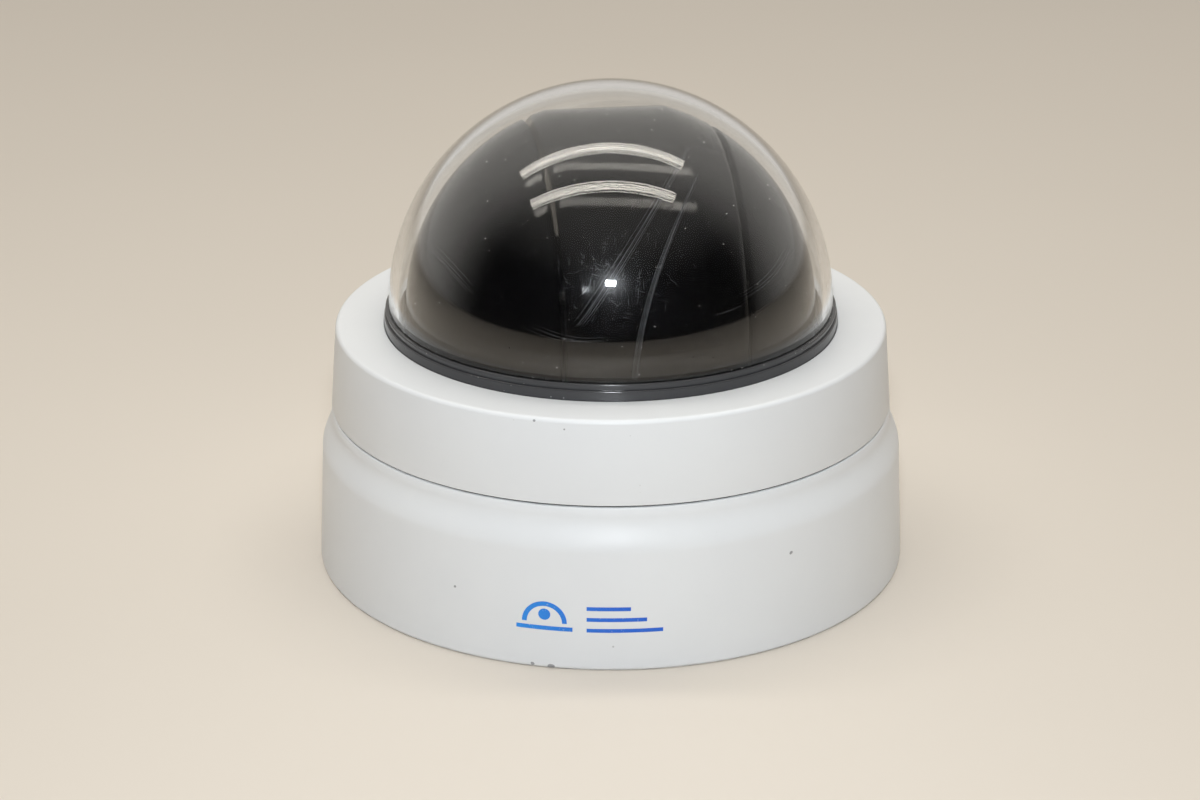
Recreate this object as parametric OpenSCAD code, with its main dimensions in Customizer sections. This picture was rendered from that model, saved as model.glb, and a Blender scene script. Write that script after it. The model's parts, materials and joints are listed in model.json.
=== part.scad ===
// Surface-mount pan-tilt-zoom dome camera, modelled standing on its mounting
// face with the dome up.  Millimetres, +Z up, origin at the centre of the
// mounting face.  X is left to right, the front faces -Y.

/* [Housing] */
// Outer radius at the foot of the white base
base_r = 78; // [76:0.5:80]
// Height of the seam between the base and the cover
seam_z = 43; // [42.5:0.1:44]
// Outer radius at the seam
seam_r = 73.9; // [73:0.1:74.5]
// Height of the cover's flat top face
cover_top_z = 65; // [65:0.1:66]
// Outer radius of the cover at its top
cover_top_r = 72.4; // [72:0.1:73]
// Wall of the base and the cover
wall = 2.6; // [2.4:0.1:2.8]
// Thickness of the base's floor
floor_t = 2.5; // [2:0.1:2.6]

/* [Dome] */
// Outer radius of the clear dome
dome_r = 58.3; // [58:0.1:58.6]
// Height of the clear dome's centre
dome_z = 69.5; // [69:0.1:70]
// Wall of the clear dome
dome_wall = 2.5; // [2:0.1:2.6]

/* [Camera ball] */
// Radius of the black ball inside the dome
ball_r = 53.8; // [53:0.1:54]
// Height of the ball's centre and tilt axis
ball_z = 68.6; // [68.4:0.1:69]
// Radius of the flattened band round the tilting drum
band_r = 51.6; // [51:0.1:52]
// Left face of the drum, along the tilt axis
drum_x0 = -19.4; // [-20:0.1:-19]
// Right face of the drum, along the tilt axis
drum_x1 = 26.6; // [26:0.1:27]
// Gap between the drum and each side cover
drum_gap = 1.2; // [1:0.1:1.4]
// Wall of the drum and the side covers
ball_wall = 2; // [1.6:0.1:2.2]
// Pan angle of the ball at rest
pan_rest = 10; // [-45:1:45]
// Height of the lens above the horizon at rest, in degrees
tilt_rest = 20; // [0:1:60]

/* [Drives] */
// Teeth on the large pan gear
pan_teeth = 92; // [92]
// Teeth on the pan motor's pinion
pinion_teeth = 18; // [18]
// Tooth module of the pan gears
tooth_module = 1; // [1]
// Pitch radius of the tilt pulley on the drum's shaft
pulley_r = 15; // [15]
// Pitch radius of the tilt motor's pulley
motor_pulley_r = 5; // [5]
// Distance from the tilt axis down to the tilt motor's axis
belt_centres = 26.6; // [26.6]

/* [Mounting] */
// Radius of the circle of mounting holes
mount_r = 66; // [65:0.5:67]
// Radius of each mounting hole
mount_hole_r = 2.4; // [2:0.1:2.6]
// Number of mounting holes
mount_count = 4; // [4]
// Distance of the cable entry from the centre
cable_y = 58; // [57.5:0.1:58.5]
// Radius of the hole through the cable grommet
cable_hole_r = 4; // [3:0.1:4.5]

/* [Hidden] */
$fn = 96;

slip = 0.05;                      // running clearance of a shaft in its hole
touch = 0.02;                     // clearance of a fixed pin in its hole
eps = 0.5;                        // overrun of a cutting tool
white = [0.88, 0.89, 0.9];
black = [0.05, 0.05, 0.06];
steel = [0.7, 0.7, 0.72];
brass = [0.75, 0.6, 0.3];

// Heights of the pan drive, from the floor up
chassis_z = floor_t + 1;
chassis_t = 2;
bearing_z = chassis_z + chassis_t;
bearing_h = 4;
bearing_top = bearing_z + bearing_h;
web_z = bearing_top + 0.5;
web_t = 2;
deck_z = web_z + web_t;
deck_t = 2.5;
gear_face = 5;
gear_screw_r = 23;                // circle of the screws that hold the gear to the yoke
bearing_r = 16;                   // outside of the pan bearing
hub_r = 12.5;                     // bore of the pan bearing
hub_bore_r = 8;
chassis_screw_r = 32;             // circle of the chassis screws
motor_post_x = [49.6, 63];        // posts under the pan motor's bracket
motor_post_y = 14.3;
grommet_r = 8;

// Pan gears
pitch_r = pan_teeth * tooth_module / 2;
pinion_r = pinion_teeth * tooth_module / 2;
pan_centres = pitch_r + pinion_r + 0.1;
bracket_z = deck_z + 1;
bracket_t = 1.5;
motor_r = 11;
motor_h = 15.5;
ear_y = 13;                       // screws in the pan motor's ears, from its axis
ear_screw_r = 1.1;

// Cover and dome stack
face_t = 2.8;                     // thickness of the cover's top face
face_z = cover_top_z - face_t;
gasket_t = 0.8;
flange_t = 2.2;
flange_r = 64.5;
flange_z = face_z - gasket_t - flange_t;
clamp_t = 2.2;
lip_r = 59.5;                     // outside of the dark ring round the dome
lip_h = 4.2;                      // its height above the cover's face
clamp_screw_r = 67;
clamp_count = 6;

// Ball
arm_t = 2.5;
arm_left = drum_x0 - 5.7;         // outer face of the left arm
arm_right = drum_x1 + 5.7;        // outer face of the right arm
drum_mid = (drum_x0 + drum_x1) / 2;
shaft_r = 4;
collar_r = 6;
ring_r = 8;                       // outside of the tilt bearings
ring_w = 4;
skirt_z = -22;                    // lower edge of the side covers, from the ball's centre
shelf_reach = 8;                  // how far the yoke's shelves stand out under the side covers
belt_x0 = arm_left - 6.8;
belt_w = 4.4;

// Main board
board_z = 18;
board_t = 1.6;
board_r0 = 50.5;
board_r1 = 70;
board_a0 = 106;
board_a1 = 332;
board_post_r = 60;
board_posts = [112, 167, 205, 262, 327];

// ---------- shared shapes ----------

// Points on an arc about (cx, cy)
function arc(cx, cy, r, a0, a1, n) =
    [for (i = [0 : n]) let (a = a0 + (a1 - a0) * i / n) [cx + r * cos(a), cy + r * sin(a)]];

module polar(angle, radius, z = 0) {
    rotate([0, 0, angle]) translate([radius, 0, z]) children();
}

module around(count, radius, first = 0, z = 0) {
    for (i = [0 : count - 1]) polar(first + i * 360 / count, radius, z) children();
}

// Cylinder along X from x0 to x1
module bar_x(x0, x1, r) {
    translate([x0, 0, 0]) rotate([0, 90, 0]) cylinder(h = x1 - x0, r = r);
}

// Cylinder along Y from y0 to y1
module bar_y(y0, y1, r) {
    translate([0, y0, 0]) rotate([-90, 0, 0]) cylinder(h = y1 - y0, r = r);
}

// Box from corner a to corner b
module block(a, b) {
    translate(a) cube(b - a);
}

module tube(r0, r1, z0, z1) {
    difference() {
        translate([0, 0, z0]) cylinder(h = z1 - z0, r = r1);
        translate([0, 0, z0 - eps]) cylinder(h = z1 - z0 + 2 * eps, r = r0);
    }
}

// Ring about X between x0 and x1
module tube_x(r0, r1, x0, x1) {
    difference() {
        bar_x(x0, x1, r1);
        bar_x(x0 - eps, x1 + eps, r0);
    }
}

// Pan-head screw: head above z = 0, shank below
module screw(head_r, head_h, shank_r, shank_h) {
    difference() {
        union() {
            cylinder(h = head_h, r = head_r, $fn = 32);
            translate([0, 0, -shank_h]) cylinder(h = shank_h + 0.1, r = shank_r, $fn = 32);
        }
        for (a = [0, 90]) rotate([0, 0, a])
            translate([-head_r * 0.6, -head_r * 0.12, head_h * 0.45])
                cube([head_r * 1.2, head_r * 0.24, head_h]);
    }
}

// Half the angle of an involute tooth at radius r
function involute(a) = tan(a) * 180 / PI - a;
function tooth_half(teeth, r, base, play) =
    90 / teeth - play + involute(20) - involute(acos(min(1, base / max(r, base))));

// Flat outline of an involute spur gear
module gear_outline(teeth, play) {
    pitch = teeth * tooth_module / 2;
    base = pitch * cos(20);
    radii = [pitch - 1.25 * tooth_module, pitch - 0.5 * tooth_module,
             pitch + 0.2 * tooth_module, pitch + 0.9 * tooth_module];
    polygon([for (i = [0 : teeth - 1]) each concat(
        [for (k = [0 : 3]) let (a = i * 360 / teeth - tooth_half(teeth, radii[k], base, play))
            radii[k] * [cos(a), sin(a)]],
        [for (k = [3 : -1 : 0]) let (a = i * 360 / teeth + tooth_half(teeth, radii[k], base, play))
            radii[k] * [cos(a), sin(a)]])]);
}

// Toothed pulley with two flanges, along X from x0, its belt seat of width w
module pulley(x0, w, pitch, teeth, bore) {
    flange = 0.7;
    tip = pitch - slip;
    difference() {
        union() {
            translate([x0, 0, 0]) rotate([0, 90, 0]) linear_extrude(w)
                polygon([for (i = [0 : teeth - 1]) each [
                    for (k = [[0, -0.25], [1, -0.2], [1, 0.2], [0, 0.25]])
                        let (a = (i + k[1]) * 360 / teeth, r = tip - (1 - k[0]) * 0.7)
                            r * [cos(a), sin(a)]]]);
            for (x = [x0 - flange, x0 + w]) bar_x(x, x + flange, pitch + 1.6);
        }
        bar_x(x0 - 2, x0 + w + 2, bore);
    }
}

// Frames of reference
module in_pan() {
    rotate([0, 0, pan_rest]) children();
}

module in_ball() {
    translate([0, 0, ball_z]) in_pan() children();
}

module in_drum() {
    in_ball() rotate([tilt_rest, 0, 0]) children();
}

// Everything in the drum that belongs to the lens lies on this axis, along +Y
module on_lens() {
    in_drum() translate([drum_mid, 0, 0]) children();
}

module on_pan_motor() {
    translate([pan_centres, 0, 0]) children();
}

module on_tilt_motor() {
    in_ball() translate([0, 0, -belt_centres]) children();
}

// ---------- white shell ----------

spigot_r = 70.6;
foot_round = 1;
foot_lean = 0.4;                  // how far the wall's inside leans in at the floor

module housing_base() {
    // Outline from the foot up the tapered wall, over the flare to the seam, and down the inside
    flare = [for (i = [0 : 8]) let (t = i / 8, s = t * t * (3 - 2 * t))
        [76.7 + (74.1 - 76.7) * s, 31 + (40.2 - 31) * t]];
    outline = concat(
        [[0, 0]],
        arc(base_r - foot_round, foot_round, foot_round, -90, 0, 5),
        flare,
        [[seam_r, seam_z - 0.5], [spigot_r + 0.8, seam_z - 0.5], [spigot_r + 0.8, seam_z - 1.5],
         [spigot_r, seam_z - 1.5], [spigot_r, seam_z + 5], [spigot_r - 2, seam_z + 5],
         [spigot_r - 2, 38], [base_r - wall - 1.6, 29], [base_r - wall - foot_lean, floor_t], [0, floor_t]]);
    color(white) difference() {
        union() {
            rotate_extrude($fn = 180) polygon(outline);
            around(4, chassis_screw_r, 30, floor_t - 0.5) cylinder(h = chassis_z - floor_t + 0.5, r = 4);
            for (x = motor_post_x) for (y = [-1, 1])
                translate([x, y * motor_post_y, floor_t - 0.5])
                    cylinder(h = chassis_z - floor_t + 0.5, r = 3.2);
            for (a = board_posts)
                polar(a, board_post_r, floor_t - 0.5) cylinder(h = board_z - floor_t + 0.5, r = 3);
            around(mount_count, mount_r, 45, floor_t - 0.5) cylinder(h = 2, r = 5);
        }
        around(mount_count, mount_r, 45, -eps) cylinder(h = floor_t + 3, r = mount_hole_r);
        translate([0, cable_y, -eps]) cylinder(h = floor_t + 2 * eps, r = grommet_r);
        around(4, chassis_screw_r, 30, 0.8) cylinder(h = 6, r = 1.5 + touch);
        for (a = board_posts) polar(a, board_post_r, 8) cylinder(h = 12, r = 1.25 + touch);
    }
}

module cable_grommet() {
    color(black) translate([0, cable_y, 0]) rotate_extrude()
        polygon([[cable_hole_r, 0], [grommet_r - touch, 0], [grommet_r - touch, floor_t + touch],
                 [grommet_r + 1.4, floor_t + touch], [grommet_r + 1.4, floor_t + 1],
                 [grommet_r - 0.6, floor_t + 1.6], [grommet_r - 2, 8], [cable_hole_r, 8]]);
}

module seam_seal() {
    color(black) rotate_extrude($fn = 180)
        polygon([[spigot_r + touch, seam_z - 1.4], [spigot_r + 0.7, seam_z - 1.4],
                 [spigot_r + 0.7, seam_z - 0.4], [seam_r - 0.6, seam_z - 0.4],
                 [seam_r - 0.6, seam_z - 0.05], [spigot_r + touch, seam_z - 0.05]]);
}

// ---------- cover and dome ----------

module cover_ring() {
    edge = 1.2;
    outline = concat(
        [[seam_r, seam_z]],
        arc(cover_top_r - edge, cover_top_z - edge, edge, 0, 90, 5),
        arc(lip_r + 0.35, cover_top_z - 0.3, 0.3, 90, 180, 2),
        [[lip_r + 0.05, face_z], [cover_top_r - wall - 1.5, face_z], [cover_top_r - wall, face_z - 1.5],
         [seam_r - wall, seam_z]]);
    color(white) difference() {
        union() {
            rotate_extrude($fn = 180) polygon(outline);
            around(clamp_count, clamp_screw_r, 30, face_z - 3) cylinder(h = 3.5, r = 2.4);
        }
        around(clamp_count, clamp_screw_r, 30, face_z - 4) cylinder(h = 4, r = 1.5 + touch);
        for (a = set_screw_angles) rotate([0, 0, a]) translate([0, 0, set_screw_z]) bar_x(60, 80, 2 + touch);
    }
}

set_screw_z = seam_z + 3;
set_screw_angles = [50, 130];

module cover_set_screws() {
    color(steel) for (a = set_screw_angles) rotate([0, 0, a]) translate([0, 0, set_screw_z]) difference() {
        bar_x(spigot_r + 0.1, seam_r - 0.5, 2);
        bar_x(seam_r - 2, seam_r + 1, 1.1, $fn = 6);
    }
}

module clear_dome() {
    inner = dome_r - dome_wall;
    color([0.9, 0.93, 0.95, 0.3]) difference() {
        union() {
            translate([0, 0, dome_z]) sphere(r = dome_r, $fn = 180);
            translate([0, 0, flange_z]) cylinder(h = dome_z - flange_z, r = dome_r, $fn = 180);
            translate([0, 0, flange_z]) cylinder(h = flange_t, r = flange_r, $fn = 180);
        }
        translate([0, 0, dome_z]) sphere(r = inner, $fn = 180);
        translate([0, 0, flange_z - eps]) cylinder(h = dome_z - flange_z + eps, r = inner, $fn = 180);
        translate([0, 0, flange_z - 2 * dome_r]) cylinder(h = 2 * dome_r, r = 2 * dome_r);
    }
}

// Rubber ring: a flat seal under the cover's face and a grooved lip round the dome
module dome_gasket() {
    inner = dome_r + touch;
    top = cover_top_z + lip_h;
    color([0.12, 0.12, 0.13]) rotate_extrude($fn = 180) polygon(concat(
        [[inner, face_z - gasket_t], [flange_r, face_z - gasket_t], [flange_r, face_z],
         [lip_r, face_z], [lip_r, cover_top_z + 2.2]],
        arc(lip_r - 0.3, cover_top_z + 2.2, 0.3, 0, 90, 3),
        [[lip_r - 0.55, cover_top_z + 2.5], [lip_r - 0.55, cover_top_z + 2.9]],
        arc(lip_r - 0.7, top - 0.4, 0.35, 20, 90, 3),
        [[inner, top]]));
}

module dome_clamp_ring() {
    inner = ball_r + 1.2;
    color(black) difference() {
        rotate_extrude($fn = 180) polygon([
            [inner, flange_z - clamp_t], [clamp_screw_r + 2.6, flange_z - clamp_t],
            [clamp_screw_r + 2.6, flange_z], [dome_r - dome_wall - 0.3, flange_z],
            [dome_r - dome_wall - 0.3, flange_z + 1.4], [inner, flange_z + 1.4]]);
        around(clamp_count, clamp_screw_r, 30, flange_z - clamp_t - eps)
            cylinder(h = clamp_t + 2 * eps, r = 1.5 + touch);
    }
}

module clamp_screws() {
    color(steel) around(clamp_count, clamp_screw_r, 30, flange_z - clamp_t) mirror([0, 0, 1])
        screw(2.5, 1.8, 1.5, clamp_t + 2.4);
}

// ---------- fixed chassis ----------

module chassis_plate() {
    color(steel) difference() {
        union() {
            translate([0, 0, chassis_z]) cylinder(h = chassis_t, r = 47);
            block([40, -18, chassis_z], [68, 18, chassis_z + chassis_t]);
            translate([0, 0, bearing_z - 0.1]) cylinder(h = bearing_h + 0.1, r = bearing_r + 3.5);
        }
        translate([0, 0, bearing_z]) cylinder(h = bearing_h + 1, r = bearing_r + touch);
        translate([0, 0, 0]) cylinder(h = 20, r = bearing_r - 1.5);
        around(4, chassis_screw_r, 30, 0) cylinder(h = 20, r = 1.5 + touch);
        around(4, 34, 75, 0) cylinder(h = 20, r = 7);
    }
}

module chassis_screws() {
    color(steel) around(4, chassis_screw_r, 30, bearing_z) screw(2.8, 1.8, 1.5, 4.2);
}

module pan_bearing_outer() {
    color(steel) difference() {
        tube(hub_r + 1.2, bearing_r, bearing_z, bearing_z + bearing_h);
        for (z = [bearing_z - 0.1, bearing_z + bearing_h - 0.4])
            tube(hub_r + 1, bearing_r - 1.2, z, z + 0.5);
    }
}

module slip_ring_stator() {
    color(black) difference() {
        union() {
            translate([0, 0, floor_t + 0.2]) cylinder(h = 10, r = 6.2);
            translate([0, 0, floor_t + 0.2]) cylinder(h = 0.8, r = 16);
            for (a = [0, 180]) polar(a, 16, floor_t + 0.2) cylinder(h = 0.8, r = 2.5);
        }
        translate([0, 0, floor_t + 1]) cylinder(h = 20, r = 4.2);
    }
}

// ---------- main circuit board ----------

// Flat ring between two radii, from angle a0 to angle a1
module sector(r0, r1, a0, a1) {
    polygon(concat(arc(0, 0, r1, a0, a1, 40), arc(0, 0, r0, a1, a0, 40)));
}

module main_board() {
    color([0.05, 0.3, 0.15]) difference() {
        translate([0, 0, board_z]) linear_extrude(board_t) sector(board_r0, board_r1, board_a0, board_a1);
        around(mount_count, mount_r, 45, board_z - eps) cylinder(h = 3, r = 6);
        for (a = board_posts) polar(a, board_post_r, board_z - eps) cylinder(h = 3, r = 1.25 + touch);
    }
}

board_top = board_z + board_t;

module board_screws() {
    color(steel) for (a = board_posts) polar(a, board_post_r, board_top) screw(2.4, 1.5, 1.25, 8);
}

// Row of screw clamps, poles wide, its wires entering from the outside
module terminal(poles) {
    pitch = 5;
    width = poles * pitch;
    difference() {
        block([-4, -width / 2, 0], [4, width / 2, 10]);
        for (i = [0 : poles - 1]) translate([0, (i - (poles - 1) / 2) * pitch, 0]) {
            translate([0, 0, 6]) cylinder(h = 5, r = 1.8, $fn = 32);
            block([1, -1.5, 1.5], [5, 1.5, 5]);
        }
    }
}

// The supply's two-way terminal and the data line's four-way one
module cable_terminals() {
    color([0.1, 0.55, 0.25]) {
        polar(123, 60, board_top) terminal(2);
        polar(150, 60, board_top) terminal(4);
    }
}

// Two white plug housings for the motor and camera leads
module board_sockets() {
    color([0.9, 0.9, 0.85]) for (a = [181, 193]) polar(a, 58, board_top) difference() {
        block([-3, -4.5, 0], [3, 4.5, 7]);
        block([-1.8, -3.6, 1.5], [1.8, 3.6, 8]);
    }
}

module capacitors() {
    color([0.15, 0.15, 0.2]) {
        for (a = [276, 286, 296]) polar(a, 61, board_top) cylinder(h = 12, r = 4);
        for (a = [305, 323]) polar(a, 55.5, board_top) cylinder(h = 9, r = 3);
    }
}

module processor_chips() {
    color(black) {
        polar(217, 57, board_top) block([-5, -5, 0], [5, 5, 1.2]);
        polar(232, 56, board_top) block([-3, -4, 0], [3, 4, 1.2]);
        polar(314, 56.5, board_top) block([-3, -3, 0], [3, 3, 1]);
    }
}

// Camera address switches, each with a turning dial
dial_angles = [243, 254];
dial_r = 62;

module address_switch_bodies() {
    color([0.1, 0.12, 0.3]) for (a = dial_angles) polar(a, dial_r, board_top) difference() {
        block([-4.5, -4.5, 0], [4.5, 4.5, 4]);
        translate([0, 0, 1.5]) cylinder(h = 4, r = 3.1);
    }
}

module address_dial(a) {
    color([0.9, 0.9, 0.9]) polar(a, dial_r, board_top + 1.5) difference() {
        cylinder(h = 3, r = 3.1 - slip);
        block([-2.4, -0.4, 2.2], [2.4, 0.4, 4]);
        block([1, -0.9, 2.2], [2.4, 0.9, 4]);
    }
}

module address_dial_tens() {
    address_dial(dial_angles[0]);
}

module address_dial_units() {
    address_dial(dial_angles[1]);
}

// ---------- pan motor ----------

module pan_motor_bracket() {
    color(steel) difference() {
        union() {
            block([43, -18, bracket_z], [68, 18, bracket_z + bracket_t]);
            for (x = motor_post_x) for (y = [-1, 1])
                translate([x, y * motor_post_y, bearing_z]) cylinder(h = bracket_z - bearing_z + 0.1, r = 2.3);
        }
        on_pan_motor() cylinder(h = 40, r = 4);
        for (y = [-1, 1]) translate([pan_centres, y * ear_y, 0]) cylinder(h = 40, r = ear_screw_r + touch);
    }
}

module pan_motor_body() {
    z0 = bracket_z + bracket_t;
    color([0.55, 0.56, 0.58]) on_pan_motor() difference() {
        union() {
            translate([0, 0, z0]) cylinder(h = motor_h, r = motor_r);
            translate([0, 0, z0 - 1]) cylinder(h = 1.1, r = 3.8);
            translate([0, 0, z0 + motor_h - 0.1]) cylinder(h = 1.1, r = 3.5);
            motor_ears(z0);
            block([9, -5, z0 + 3], [14, 5, z0 + 9]);
        }
        translate([0, 0, 0]) cylinder(h = 60, r = 1.5 + slip);
        for (y = [-ear_y, ear_y]) translate([0, y, 0]) cylinder(h = 60, r = ear_screw_r + touch);
    }
}

// Two mounting ears on a motor
module motor_ears(z0) {
    block([-3, -15.5, z0], [3, 15.5, z0 + 1]);
}

module pan_motor_screws() {
    color(steel) on_pan_motor() for (y = [-ear_y, ear_y])
        translate([0, y, bracket_z + bracket_t + 1]) screw(2, 1.3, ear_screw_r, 3.4);
}

module pan_motor_shaft() {
    color(steel) on_pan_motor() translate([0, 0, web_z - 3.6])
        cylinder(h = bracket_z + bracket_t + motor_h + 1.6 - (web_z - 3.6), r = 1.5);
}

module pan_pinion() {
    z0 = deck_z - gear_face;
    color(brass) on_pan_motor() difference() {
        translate([0, 0, z0]) linear_extrude(gear_face) rotate([0, 0, 180 / pinion_teeth])
            gear_outline(pinion_teeth, 0.25);
        translate([0, 0, z0 - eps]) cylinder(h = gear_face + 2 * eps, r = 1.5 + touch);
    }
}

// ---------- pan carriage ----------

module pan_gear() {
    rim_r = pitch_r - 4;
    color([0.85, 0.83, 0.78]) difference() {
        translate([0, 0, deck_z - gear_face]) linear_extrude(gear_face) gear_outline(pan_teeth, 0.05);
        translate([0, 0, 0]) cylinder(h = web_z, r = rim_r);
        translate([0, 0, 0]) cylinder(h = 20, r = hub_r + 1 + touch);
        in_pan() {
            around(3, gear_screw_r, 30, 0) cylinder(h = 20, r = 1.25 + touch);
            around(6, 34, 0, 0) cylinder(h = 20, r = 5);
        }
    }
}

module pan_gear_screws() {
    color(steel) in_pan() around(3, gear_screw_r, 30, web_z) mirror([0, 0, 1])
        screw(2.3, 1.4, 1.25, web_t + 2);
}

// Side plate of the yoke in the Y-Z plane, from x0 to x1
module yoke_arm(x0, x1) {
    foot = deck_z + 1 - ball_z;
    translate([x0, 0, 0]) rotate([90, 0, 90]) linear_extrude(x1 - x0)
        polygon(concat([[-19.5, foot], [19.5, foot], [16, -24]], arc(0, 0, 14, 0, 180, 24), [[-16, -24]]));
}

module yoke() {
    shelf_z = skirt_z - 2.5;
    color(black) difference() {
        union() {
            in_pan() {
                translate([0, 0, deck_z]) cylinder(h = deck_t, r = 30);
                block([arm_left - 0.5, -20, deck_z], [arm_right + 0.5, 20, deck_z + deck_t]);
                translate([0, 0, bearing_top]) cylinder(h = deck_z - bearing_top + 0.1, r = hub_r + 1);
                translate([0, 0, chassis_z + 0.4]) cylinder(h = 8, r = hub_r);
            }
            in_ball() {
                yoke_arm(arm_left, arm_left + arm_t);
                yoke_arm(arm_right - arm_t, arm_right);
                bar_x(arm_left - 1.5, arm_left + arm_t, 11);
                bar_x(arm_right - arm_t, arm_right + 1.5, 11);
                for (y = [-1, 1]) {
                    block([arm_left - shelf_reach, min(y * 13, y * 25), shelf_z],
                          [arm_left + arm_t, max(y * 13, y * 25), skirt_z]);
                    block([arm_right - arm_t, min(y * 13, y * 25), shelf_z],
                          [arm_right + shelf_reach, max(y * 13, y * 25), skirt_z]);
                }
            }
        }
        cylinder(h = 40, r = hub_bore_r);
        translate([0, 0, clip_z]) tube(hub_r - 0.6, hub_r + 1, 0, 0.7);
        in_pan() around(3, gear_screw_r, 30, web_z) cylinder(h = 4.4, r = 1.25 + touch);
        in_ball() {
            bar_x(arm_left - 5, arm_left + arm_t + 5, ring_r + touch);
            bar_x(arm_right - arm_t - 5, arm_right + 5, ring_r + touch);
            side_screw_places() translate([0, 0, -5]) cylinder(h = 8, r = 1.25 + touch);
            translate([0, 0, -belt_centres]) bar_x(arm_left - 1, arm_left + arm_t + 1, 3);
            translate([arm_right - arm_t - 1, -9, -34]) cube([arm_t + 2, 18, 14]);
        }
    }
}

clip_z = bearing_z - 0.75;

// Where the side covers' screws go, at the covers' lower edge
module side_screw_places() {
    for (x = [arm_left - 6, arm_right + 6]) for (y = [-20, 20]) translate([x, y, skirt_z]) children();
}

module pan_bearing_inner() {
    color(steel) tube(hub_r + touch, hub_r + 1.15, bearing_z, bearing_z + bearing_h - 0.02);
}

module pan_retaining_clip() {
    color(steel) in_pan() difference() {
        tube(hub_r - 0.55, hub_r + 1.2, clip_z + 0.05, clip_z + 0.65);
        block([0, -2.5, 0], [20, 2.5, 20]);
    }
}

module slip_ring_rotor() {
    color(brass) in_pan() difference() {
        union() {
            translate([0, 0, floor_t + 2]) cylinder(h = deck_z + deck_t - floor_t - 1, r = 3.9);
            translate([0, 0, deck_z + deck_t]) cylinder(h = 1.1, r = 10);
        }
        for (i = [0 : 2]) tube(3.5, 5, floor_t + 3.2 + i * 2, floor_t + 4.2 + i * 2);
        translate([0, 0, 10]) cylinder(h = 10, r = 2);
    }
}

// ---------- ball: side covers ----------

// One side of the ball, beyond x in the direction side (-1 or 1)
module side_cover(x, side) {
    inner_r = ball_r - ball_wall;
    x_lo = side < 0 ? -80 : x;
    x_hi = side < 0 ? x : 80;
    color(black) in_ball() difference() {
        intersection() {
            sphere(r = ball_r, $fn = 180);
            block([x_lo, -80, skirt_z], [x_hi, 80, 80]);
        }
        intersection() {
            sphere(r = inner_r, $fn = 180);
            block([side < 0 ? -80 : x + 1.5, -80, skirt_z + 2.2], [side < 0 ? x - 1.5 : 80, 80, 80]);
        }
        bar_x(x - 5, x + 5, 34);
        block([side < 0 ? -48 : x - 1, -15, skirt_z - 5], [side < 0 ? x + 1 : 44, 15, skirt_z + 5]);
        side_screw_places() translate([0, 0, -1]) cylinder(h = 5, r = 1.25 + touch);
    }
}

module side_cover_left() {
    side_cover(drum_x0 - drum_gap, -1);
}

module side_cover_right() {
    side_cover(drum_x1 + drum_gap, 1);
}

module side_cover_screws() {
    color(steel) in_ball() side_screw_places() translate([0, 0, -2.5]) mirror([0, 0, 1])
        screw(2.2, 1.3, 1.25, 4.4);
}

// ---------- tilt drive ----------

left_ring_x = arm_left - 1.5;
right_ring_x = arm_right + 1.5 - ring_w;

module tilt_bearing_outers() {
    color(steel) in_ball() for (x = [left_ring_x, right_ring_x]) tube_x(5.55, ring_r, x, x + ring_w);
}

module tilt_bearing_inners() {
    color(steel) in_ball() for (x = [left_ring_x, right_ring_x]) tube_x(shaft_r + touch, 5.5, x, x + ring_w);
}

tilt_plate_x = belt_x0 - 3.2;
tilt_motor_r = 10;
tilt_motor_h = 11;
tilt_ear_y = 10.5;
tilt_posts = [[-14, -2], [14, -2], [0, -13]];

module tilt_motor_bracket() {
    color(steel) on_tilt_motor() difference() {
        union() {
            translate([tilt_plate_x, 0, 0]) rotate([90, 0, 90]) linear_extrude(1.5) difference() {
                polygon([[-17, 3], [-17, -6], [-5, -16], [5, -16], [17, -6], [17, 3], [11, 7], [-11, 7]]);
                for (p = tilt_posts) translate(p) circle(r = 1.1, $fn = 24);
            }
            for (p = tilt_posts) translate([0, p[0], p[1]])
                bar_x(tilt_plate_x + 1.4, arm_left, 2);
        }
        bar_x(tilt_plate_x - 5, tilt_plate_x + 5, 3);
        for (y = [-tilt_ear_y, tilt_ear_y])
            translate([0, y, 0]) bar_x(tilt_plate_x - 5, tilt_plate_x + 5, 1 + touch);
    }
}

module tilt_motor_body() {
    color([0.55, 0.56, 0.58]) on_tilt_motor() difference() {
        union() {
            bar_x(tilt_plate_x - tilt_motor_h, tilt_plate_x - 1, tilt_motor_r - 1.2);
            bar_x(tilt_plate_x - 1.1, tilt_plate_x, 8);
            block([tilt_plate_x - 1, -12.6, -2.5], [tilt_plate_x, 12.6, 2.5]);
            bar_x(tilt_plate_x - 0.1, tilt_plate_x + 1, 2.9);
        }
        bar_x(tilt_plate_x - tilt_motor_h + 1, tilt_plate_x + 5, 1.5 + slip);
        for (y = [-tilt_ear_y, tilt_ear_y])
            translate([0, y, 0]) bar_x(tilt_plate_x - 5, tilt_plate_x + 5, 1 + touch);
    }
}

module tilt_motor_screws() {
    color(steel) on_tilt_motor() for (y = [-tilt_ear_y, tilt_ear_y])
        translate([tilt_plate_x - 1, y, 0]) rotate([0, -90, 0]) screw(1.6, 1.1, 1, 2.4);
}

module tilt_motor_shaft() {
    color(steel) on_tilt_motor() bar_x(tilt_plate_x - tilt_motor_h + 1.5, belt_x0 + belt_w + 0.8, 1.5);
}

module tilt_motor_pulley() {
    color(brass) on_tilt_motor() pulley(belt_x0, belt_w, motor_pulley_r, 10, 1.5 + touch);
}

module tilt_pulley() {
    color([0.85, 0.83, 0.78]) in_drum() difference() {
        pulley(belt_x0, belt_w, pulley_r, 30, shaft_r + touch);
        for (i = [0 : 4]) rotate([i * 72, 0, 0]) translate([0, 9.2, 0]) bar_x(-50, -20, 2.6);
    }
}

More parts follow.
